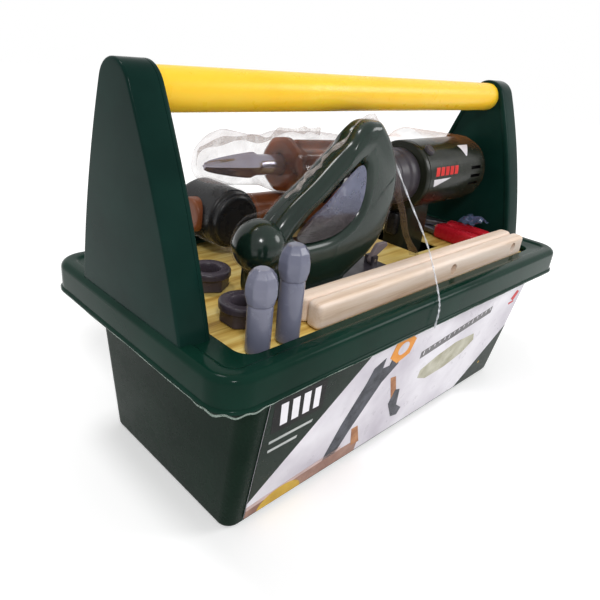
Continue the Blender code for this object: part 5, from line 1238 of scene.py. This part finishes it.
def filmMaterial(name, colour, facing, grazing, clouds=60, crease=0.35, gloss=0.5, above=None):
    # nearly clear face on and milky at a glance, with clouded creases; above is the
    # range of heights over which the milkiness comes in
    material, tree, shader = startMaterial(name, Specular_IOR_Level=gloss, IOR=1.45)
    place = patternPlace(tree)
    shader.inputs["Base Color"].default_value = tint(*colour)
    tree.links.new(ranged(tree, noise(tree, place, clouds * 3), 0.03, 0.12),
                   shader.inputs["Roughness"])
    weight = tree.nodes.new("ShaderNodeLayerWeight")
    weight.inputs["Blend"].default_value = 0.35
    veil = ranged(tree, weight.outputs["Facing"], facing, grazing, 0.45, 0.97)
    cloudy = ranged(tree, noise(tree, place, clouds, 4.0, 0.6, 1.2), 0.45, 1.5)
    veil = maths(tree, 'MULTIPLY', veil, cloudy)
    if above:
        veil = maths(tree, 'MULTIPLY', veil, ranged(tree, heightOf(tree, place), 0.10, 1, *above))
    tree.links.new(veil, shader.inputs["Alpha"])
    bumped(tree, shader, noise(tree, place, clouds * 1.2, 2.0, 0.5, 2.5), 0.5 * mm, crease)
    return material


clearFilm = filmMaterial("clear_film", (196, 192, 196), 0.0, 0.40, 24, 0.25)
hazeFilm = filmMaterial("milky_film", (182, 160, 158), 0.19, 0.60, 40, 0.3, 0.15)
# orange painted reflection of the yellow bar, shown only on the film over the drill's upper side
barReflectionFilm = filmMaterial("film_painted_bar_reflection", (214, 138, 78), 0.0, 0.75, 24, 0.3,
                        above=(drill["z"] + 14 * mm, drill["z"] + 26 * mm))
crumpledFilm = filmMaterial("crumpled_film", (112, 126, 164), 0.22, 0.90, 90, 0.2)
# nearly opaque film over the loop, its colour a painted reflection above and painted shade below
loopPaintedLightFilm = filmMaterial("film_over_loop_painted_light", (96, 98, 122), 0.70, 0.85, 20, 0.15)


def paintLightOnLoopFilm():
    # painted reflection in lilac higher up, painted shade in dark brown towards the loop's foot
    tree = loopPaintedLightFilm.node_tree
    place = patternPlace(tree)
    total = maths(tree, 'MULTIPLY_ADD', noise(tree, place, 60, 3.0, 0.6, 1.5), 0.35,
                  ranged(tree, heightOf(tree, place), 0, 1, *film["loopShade"]))
    tree.links.new(ramp(tree, total, [(0.34, (34, 24, 26)), (0.50, (56, 44, 52)),
                                      (0.58, (84, 86, 108)), (0.95, (112, 116, 142))]),
                   tree.nodes["Principled BSDF"].inputs["Base Color"])


paintLightOnLoopFilm()


def creased(points, amount, size=11 * mm):
    # every point shifts along a sum of three crossing sine waves of its place
    a, b, c = (points[..., k] / size for k in range(3))
    wave = np.sin(a + 1.7 * c) * np.sin(1.3 * b - 0.7 * a) + 0.5 * np.sin(2.3 * c + 1.9 * a + b)
    return points + amount * wave[..., None] * np.array((0.3, 0.8, 0.5))


def makePlaneFilm():
    # on rays from the loop's middle, out to the outline or the knob, whichever is
    # further: the film stands off the body and sags a little across the loop
    angle = np.linspace(-math.pi, math.pi, 240, endpoint=False)
    knobX, knobZ = plane["knob"][0] - plane["middle"][0], plane["knob"][2] - plane["middle"][1]
    reach, toward = math.hypot(knobX, knobZ), math.atan2(knobZ, knobX)
    wide = plane["knobRadius"] + film["over"]
    off = reach * np.sin(angle - toward)
    knobEdge = np.where((np.abs(off) < wide) & (np.cos(angle - toward) > 0),
                        reach * np.cos(angle - toward)
                        + np.sqrt(np.maximum(wide ** 2 - off ** 2, 0)), 0)
    body, hole = polarRadius(planeOutlineShares, angle), polarRadius(planeHoleShares, angle)
    outer = np.maximum(body + film["stands"], knobEdge)
    # rows from the middle out, which lie closer together towards the edge
    nearEdge = 1 - 0.1 * np.cos(np.linspace(0.5, math.pi / 2, 7))
    share = np.concatenate([np.linspace(0, 0.9, 16), nearEdge])[:, None]
    radius = np.maximum(outer * share, 0.01 * mm)
    x, z = radius * np.cos(angle), radius * np.sin(angle)
    fromKnob = np.hypot(x - knobX, z - knobZ)
    edge = plane["edge"] + film["stands"]
    roundOff = np.clip((outer - radius) / edge, 0, 1)
    half = (plane["half"] + film["over"]) * np.sqrt(1 - (1 - roundOff) ** 2)
    sag = np.clip((hole - radius) / film["sagWidth"], 0, 1)
    half = half - film["sag"] * sag * sag * (3 - 2 * sag)
    half = np.maximum(half, np.sqrt(np.maximum(wide ** 2 - fromKnob ** 2, 0)))
    loops = np.stack([x + plane["middle"][0],
                      np.maximum(z + plane["middle"][1], plane["foot"] + 1 * mm)], axis=-1)
    sides = [standing(loops, plane["y"] + side * half, "xz") for side in (-1, 1)]
    seam = standing(loops[-1:], np.full((1, len(angle)), plane["y"]), "xz")
    points = np.concatenate([sides[0], seam, sides[1][::-1]])
    makePiece("plane_film", "plane", [skin(creased(points, 0.15 * mm, 16 * mm))],
              [clearFilm])


def makeLoopFilm():
    # the stretch of film across the near side of the loop, coloured with painted reflection and
    # shade
    angle = np.linspace(-math.pi, math.pi, 96, endpoint=False)
    hole = polarRadius(planeHoleShares, angle) - 0.6 * mm
    share = np.array((1.0, 0.97, 0.9, 0.75, 0.5, 0.25, 0.02))[:, None]
    radius = hole * share
    sag = np.clip((1 - share) * 2.2, 0, 1) * np.ones_like(radius)
    y = plane["y"] - (plane["half"] - 1.2 * mm - film["loopSag"] * sag)
    loops = aroundPoints(radius, angle) + plane["middle"]
    front, back = standing(loops, y, "xz"), standing(loops, y + film["thickness"], "xz")
    makePiece("loop_film_painted_light", "plane", [skin(np.concatenate([front[::-1], back]))], [loopPaintedLightFilm])


def makeDriverFilm():
    place, over, end = driverPlace, driverOver, driverEnd
    profile = [(0, end + 7 * mm), (7 * mm, end + 6 * mm), (10.5 * mm, end - 2 * mm),
               (12.4 * mm, end - 14 * mm), (13.0 * mm, end - 34 * mm), (14 * mm, end - 46 * mm),
               (18.5 * mm, end - 58 * mm), (20.4 * mm, end - 66 * mm), (20.6 * mm, 20 * mm),
               (19.4 * mm, -0.6 * mm), (0, -1.2 * mm)]
    points = revolved(softened(profile, 3 * mm, 6), place, -malletAxis, 90)
    # the upper side stands off as a tent, most of all over the tip
    forward = (place - points) @ malletAxis
    above = np.maximum((points - place + malletAxis * forward[..., None]) @ over, 0)
    start = film["tentFrom"]
    lift = film["tent"] * np.clip(forward / end - start, 0, start) / start
    points = points + over * (above * (film["slack"] + lift))[..., None]
    makePiece("screwdriver_film", "screwdriver", [skin(creased(points, 0.5 * mm))],
              [hazeFilm])


def makeMalletFilm():
    reach, radius = mallet["headHalf"] + 1.6 * mm, mallet["headRadius"] + 1.0 * mm
    profile = [(0, -reach), (radius - 2.5 * mm, -reach), (radius, -reach + 5 * mm),
               (radius + 0.5 * mm, 0), (radius, reach - 5 * mm), (radius - 2.5 * mm, reach),
               (0, reach)]
    points = revolved(softened(profile, 3 * mm, 6), mallet["place"], yAxis, 90)
    makePiece("mallet_film", "mallet", [skin(creased(points, 0.35 * mm))], [clearFilm])


def makeDrillFilm():
    # from the gearcase to the drill's rear, with its front pulled up
    radius, length = drill["radius"] + 1.0 * mm, drill["length"]
    profile = [(0, -30 * mm), (19 * mm, -30 * mm), (21.4 * mm, -28 * mm), (22.4 * mm, -6 * mm),
               (radius, 2 * mm), (radius, length - 12 * mm), (radius - 3 * mm, length - 4 * mm),
               (radius - 10 * mm, length + 0.9 * mm), (0, length + 1 * mm)]
    points = revolved(softened(profile, 3 * mm, 6), drillPlace, xAxis, 96)
    above = np.maximum(points[..., 2] - drill["z"], 0) / radius
    pulled = np.clip(1 - (points[..., 0] - 24 * mm) / (100 * mm), 0, 1)
    points = points + zAxis * (film["pull"] * above ** 2 * pulled)[..., None]
    # its orange on the upper side is a painted reflection of the bar
    makePiece("drill_film", "drill", [skin(creased(points, 0.3 * mm))], [barReflectionFilm])


def makeStrand():
    # a twisted strand of film from the top of the plane down over the rim: a circle
    # carried along a smooth path, with two lobes that turn as they go
    path = smoothPath(np.array([(6, -20, 192), (5.5, -40, 166.5), (2.5, -60, 145),
                                (-3.5, -73, 131.5), (-11, -84.5, 119.6), (-13.6, -88.2, 112),
                                (-15, -88.6, 101)]) * mm, 14)
    along = np.gradient(path, axis=0)
    along /= np.linalg.norm(along, axis=1, keepdims=True)
    side = np.cross(along, xAxis)
    side /= np.linalg.norm(side, axis=1, keepdims=True)
    up = np.cross(side, along)
    angle = np.linspace(0, 2 * math.pi, 16, endpoint=False)
    travelled = np.arange(len(path))[:, None] * film["strandTurn"]
    mean, lobe = film["strandRadius"]
    radius = (mean + lobe * np.cos(2 * (angle - travelled)))[..., None] * mm
    points = (path[:, None] + side[:, None] * radius * np.cos(angle)[:, None]
              + up[:, None] * radius * np.sin(angle)[:, None])
    strand = filmMaterial("twisted_film", (238, 240, 246), 0.45, 0.95, 300)
    piece = makePiece("film_strand", None, [skin(points)], [strand])
    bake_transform(piece)


stripShares = (-1, -0.33, 0.33, 1)      # places of a film strip's points across it


def filmStrip(name, body, middle, across, thickness, material):
    # a strip whose section is a flat rectangle, its halves along across at each point
    along = np.gradient(middle, axis=0)
    normal = np.cross(along, across)
    normal *= thickness / 2 / np.linalg.norm(normal, axis=1, keepdims=True)
    columns = []
    for side in (-1, 1):
        for place in stripShares[::-side]:
            columns.append(middle + across * place + normal * side)
    makePiece(name, body, [skin(np.stack(columns, axis=1))], [material])


def makeFilmSeams():
    # the film's edges stand off as thin fins over the plane and the screwdriver
    seam = filmMaterial("film_seam", (224, 210, 204), 0.30, 0.75, 90)
    angle = np.linspace(math.radians(166), math.radians(-38), 90)
    radius = polarRadius(planeOutlineShares, angle) + 2.2 * mm
    out = np.stack([np.cos(angle), 0 * angle, np.sin(angle)], axis=1)
    middle = np.array((plane["middle"][0], plane["y"], plane["middle"][1])) + radius[:, None] * out
    middle[:, 1] += 1.0 * mm * np.sin(angle * 9) + 0.5 * mm * np.sin(angle * 23)
    across = out * (1.5 + 0.5 * np.sin(angle * 15))[:, None] * mm
    filmStrip("plane_film_seam", "plane", middle, across, film["thickness"], seam)
    place, over, end = driverPlace, driverOver, driverEnd
    path = smoothPath([(end + 6 * mm, 2 * mm), (end + 2 * mm, 11 * mm), (end - 12 * mm, 16 * mm),
                       (end - 34 * mm, 17.5 * mm), (end - 48 * mm, 17 * mm),
                       (end - 60 * mm, 22 * mm), (end - 78 * mm, 23.5 * mm), (34 * mm, 24 * mm),
                       (18 * mm, 23 * mm)], 8)
    share = np.linspace(0, 1, len(path))
    middle = place - malletAxis * path[:, :1] + over * path[:, 1:2]
    middle[:, 1] += 1.5 * mm * np.sin(share * 21)
    across = over * (2.0 + 0.8 * np.sin(share * 33))[:, None] * mm
    filmStrip("screwdriver_film_seam", "screwdriver", middle, across, film["thickness"], seam)


def makeFilmWeb():
    # a web of film from the plane's back down to the card, wider as it comes down
    path = smoothPath(np.array([(1.2, 193), (8.5, 179), (14.5, 166), (24.5, 148), (37, 129),
                                (49.5, 113.8)]) * mm, 8)
    share = np.linspace(0, 1, len(path))
    wave = 0.8 * mm * np.sin(share * 19)
    middle = np.stack([path[:, 0], -25.5 * mm + wave, path[:, 1]], axis=1)
    across = np.stack([0 * share, (1.6 + 2.6 * share) * mm, 1.2 * mm * np.cos(share * 9)],
                      axis=1)
    web = filmMaterial("film_web", (150, 132, 128), 0.30, 0.75, 90)
    filmStrip("film_web", "plane", middle, across, film["thickness"], web)


def makeFilmEdge():
    # the film's edge round the skirt's lip, as a fine line that crinkles at the near corner
    lipOut = film["edgeOut"]
    path = roundedLoop(rim["length"] / 2 + lipOut, rim["width"] / 2 + lipOut,
                       rim["corner"] + lipOut, 24)
    step = np.linalg.norm(np.roll(path, -1, axis=0) - path, axis=1)
    along = np.concatenate([[0], np.cumsum(step)])
    place = np.arange(0, along[-1], 1.5 * mm)
    closed = np.concatenate([path, path[:1]])
    path = np.stack([np.interp(place, along, closed[:, k]) for k in range(2)], axis=1)
    cornerX, cornerY = film["nearCorner"]
    fromCorner = np.hypot(path[:, 0] - cornerX, path[:, 1] - cornerY)
    near = np.exp(-(fromCorner / film["crinkleReach"]) ** 2)
    height = (100.9 + 0.25 * np.sin(place * 90) - near * (1.4 + 0.9 * np.sin(place * 610))) * mm
    half = (0.16 + 0.10 * np.sin(place * 240) + 0.45 * near) * mm
    middle = np.stack([path[:, 0], path[:, 1], height], axis=1)
    across = np.stack([0 * place, 0 * place, half], axis=1)
    edge = filmMaterial("film_edge", (150, 166, 156), 0.55, 0.85, 200)
    filmStrip("film_edge", "box", middle, across, film["edgeThickness"], edge)


def makeCrumple():
    # a crumpled end of film over the pliers' handles: a sheet of sharp folds, its points
    # shifted up and sideways by random shares of the fold's height
    shift = np.random.default_rng(7).uniform(-1, 1, (6, 9, 3))
    across, along = np.meshgrid(np.linspace(-1, 1, 9), np.linspace(-1, 1, 6))
    sheet = np.stack([13 * across, 7 * along, 2 - 3 * across ** 2], axis=-1) * mm
    points = np.array(film["crumpleAt"]) * mm + sheet
    points = points + shift * np.array(film["crumpleHeight"]) * mm
    thick = np.concatenate([points, points[::-1] - zAxis * film["thickness"]])
    makePiece("pliers_film", "pliers", [skin(np.swapaxes(thick, 0, 1))], [crumpledFilm], sharp=5)


makePlaneFilm()
makeLoopFilm()
makeCrumple()
makeDriverFilm()
makeMalletFilm()
makeDrillFilm()
makeStrand()
makeFilmSeams()
makeFilmWeb()
makeFilmEdge()
say("film")


# Floor, light and camera

studio = {"floorHalf": 3.0, "floorDrop": -0.4 * mm, "worldLight": 0.5,
          "floorGlow": (0.22, 0.60), "glowFrom": (0.25, 0.9), "aim": (0, 0, 0.12)}

# each lamp's place, size and power
lamps = {"key": ((-0.7, -0.9, 1.1), 0.26, 7.5), "fill": ((0.9, -0.7, 0.7), 0.5, 4.5),
         "top": ((-0.25, 0.32, 1.3), 0.3, 4.0)}


def seenRays(tree):
    # 1 for camera, glossy and transmission rays, and 0 for the light on the object
    path = tree.nodes.new("ShaderNodeLightPath")
    glossy = maths(tree, 'MAXIMUM', path.outputs["Is Glossy Ray"],
                   path.outputs["Is Transmission Ray"])
    return maths(tree, 'MAXIMUM', path.outputs["Is Camera Ray"], glossy)


def makeFloor():
    half, drop = studio["floorHalf"], studio["floorDrop"]
    mesh = bpy.data.meshes.new("floor")
    mesh.from_pydata([(-half, -half, drop), (half, -half, drop), (half, half, drop),
                      (-half, half, drop)], [], [(0, 1, 2, 3)])
    material, tree, shader = startMaterial("pale_floor", Roughness=0.9, Specular_IOR_Level=0.0)
    tree.links.new(ramp(tree, noise(tree, patternPlace(tree), 3.0),
                        [(0.3, (250, 250, 250)), (0.7, (254, 254, 254))]),
                   shader.inputs["Base Color"])
    shader.inputs["Emission Color"].default_value = (1, 1, 1, 1)
    away = tree.nodes.new("ShaderNodeVectorMath")
    away.operation = 'LENGTH'
    tree.links.new(patternPlace(tree), away.inputs[0])
    glow = ranged(tree, away.outputs["Value"], *studio["floorGlow"], *studio["glowFrom"])
    tree.links.new(maths(tree, 'MULTIPLY', seenRays(tree), glow),
                   shader.inputs["Emission Strength"])
    newObject("floor", mesh, [material])


def makeWorld():
    world = bpy.data.worlds.new("studio")
    bpy.context.scene.world = world
    world.use_nodes = True
    tree = world.node_tree
    background = tree.nodes["Background"]
    background.inputs["Color"].default_value = (1, 1, 1, 1)
    tree.links.new(ranged(tree, seenRays(tree), studio["worldLight"], 1.0, 0, 1),
                   background.inputs["Strength"])


def aimed(side, up, forward, place):
    # the matrix of a lamp or camera that looks along forward
    return Matrix([[side[k], up[k], -forward[k], place[k]] for k in range(3)] + [[0, 0, 0, 1]])


def makeLamp(name, place, size, power):
    data = bpy.data.lights.new(name, 'AREA')
    data.shape = 'DISK'
    data.size = size
    data.energy = power
    direction = np.asarray(studio["aim"], float) - place
    forward = direction / np.linalg.norm(direction)
    side = np.cross(forward, zAxis)
    side = side / np.linalg.norm(side)
    newObject(name, data).matrix_world = aimed(side, np.cross(side, forward), forward, place)


view = {"place": (-0.2868, -0.2315, 0.2476), "yaw": 46.815, "pitch": 24.975, "roll": 6.241,
        "focalPixels": 552.3, "picturePixels": 600, "sensor": 36.0, "nearest": 0.01}


def makeCamera():
    # forward from yaw and pitch, then the picture turned about it by the roll
    yaw, pitch, roll = (math.radians(view[key]) for key in ("yaw", "pitch", "roll"))
    forward = np.array((math.sin(yaw) * math.cos(pitch), math.cos(yaw) * math.cos(pitch),
                        -math.sin(pitch)))
    right = np.array((math.cos(yaw), -math.sin(yaw), 0))
    up = np.cross(right, forward)
    side = math.cos(roll) * right + math.sin(roll) * up
    up = -math.sin(roll) * right + math.cos(roll) * up
    data = bpy.data.cameras.new("camera")
    data.sensor_width = view["sensor"]
    data.lens = view["sensor"] * view["focalPixels"] / view["picturePixels"]
    data.clip_start = view["nearest"]
    camera = newObject("camera", data)
    camera.matrix_world = aimed(side, up, forward, view["place"])
    bpy.context.scene.camera = camera


bpy.context.scene.view_settings.view_transform = 'Standard'
makeFloor()
makeWorld()
for lampName, settings in lamps.items():
    makeLamp(lampName, *settings)
makeCamera()
say("studio")
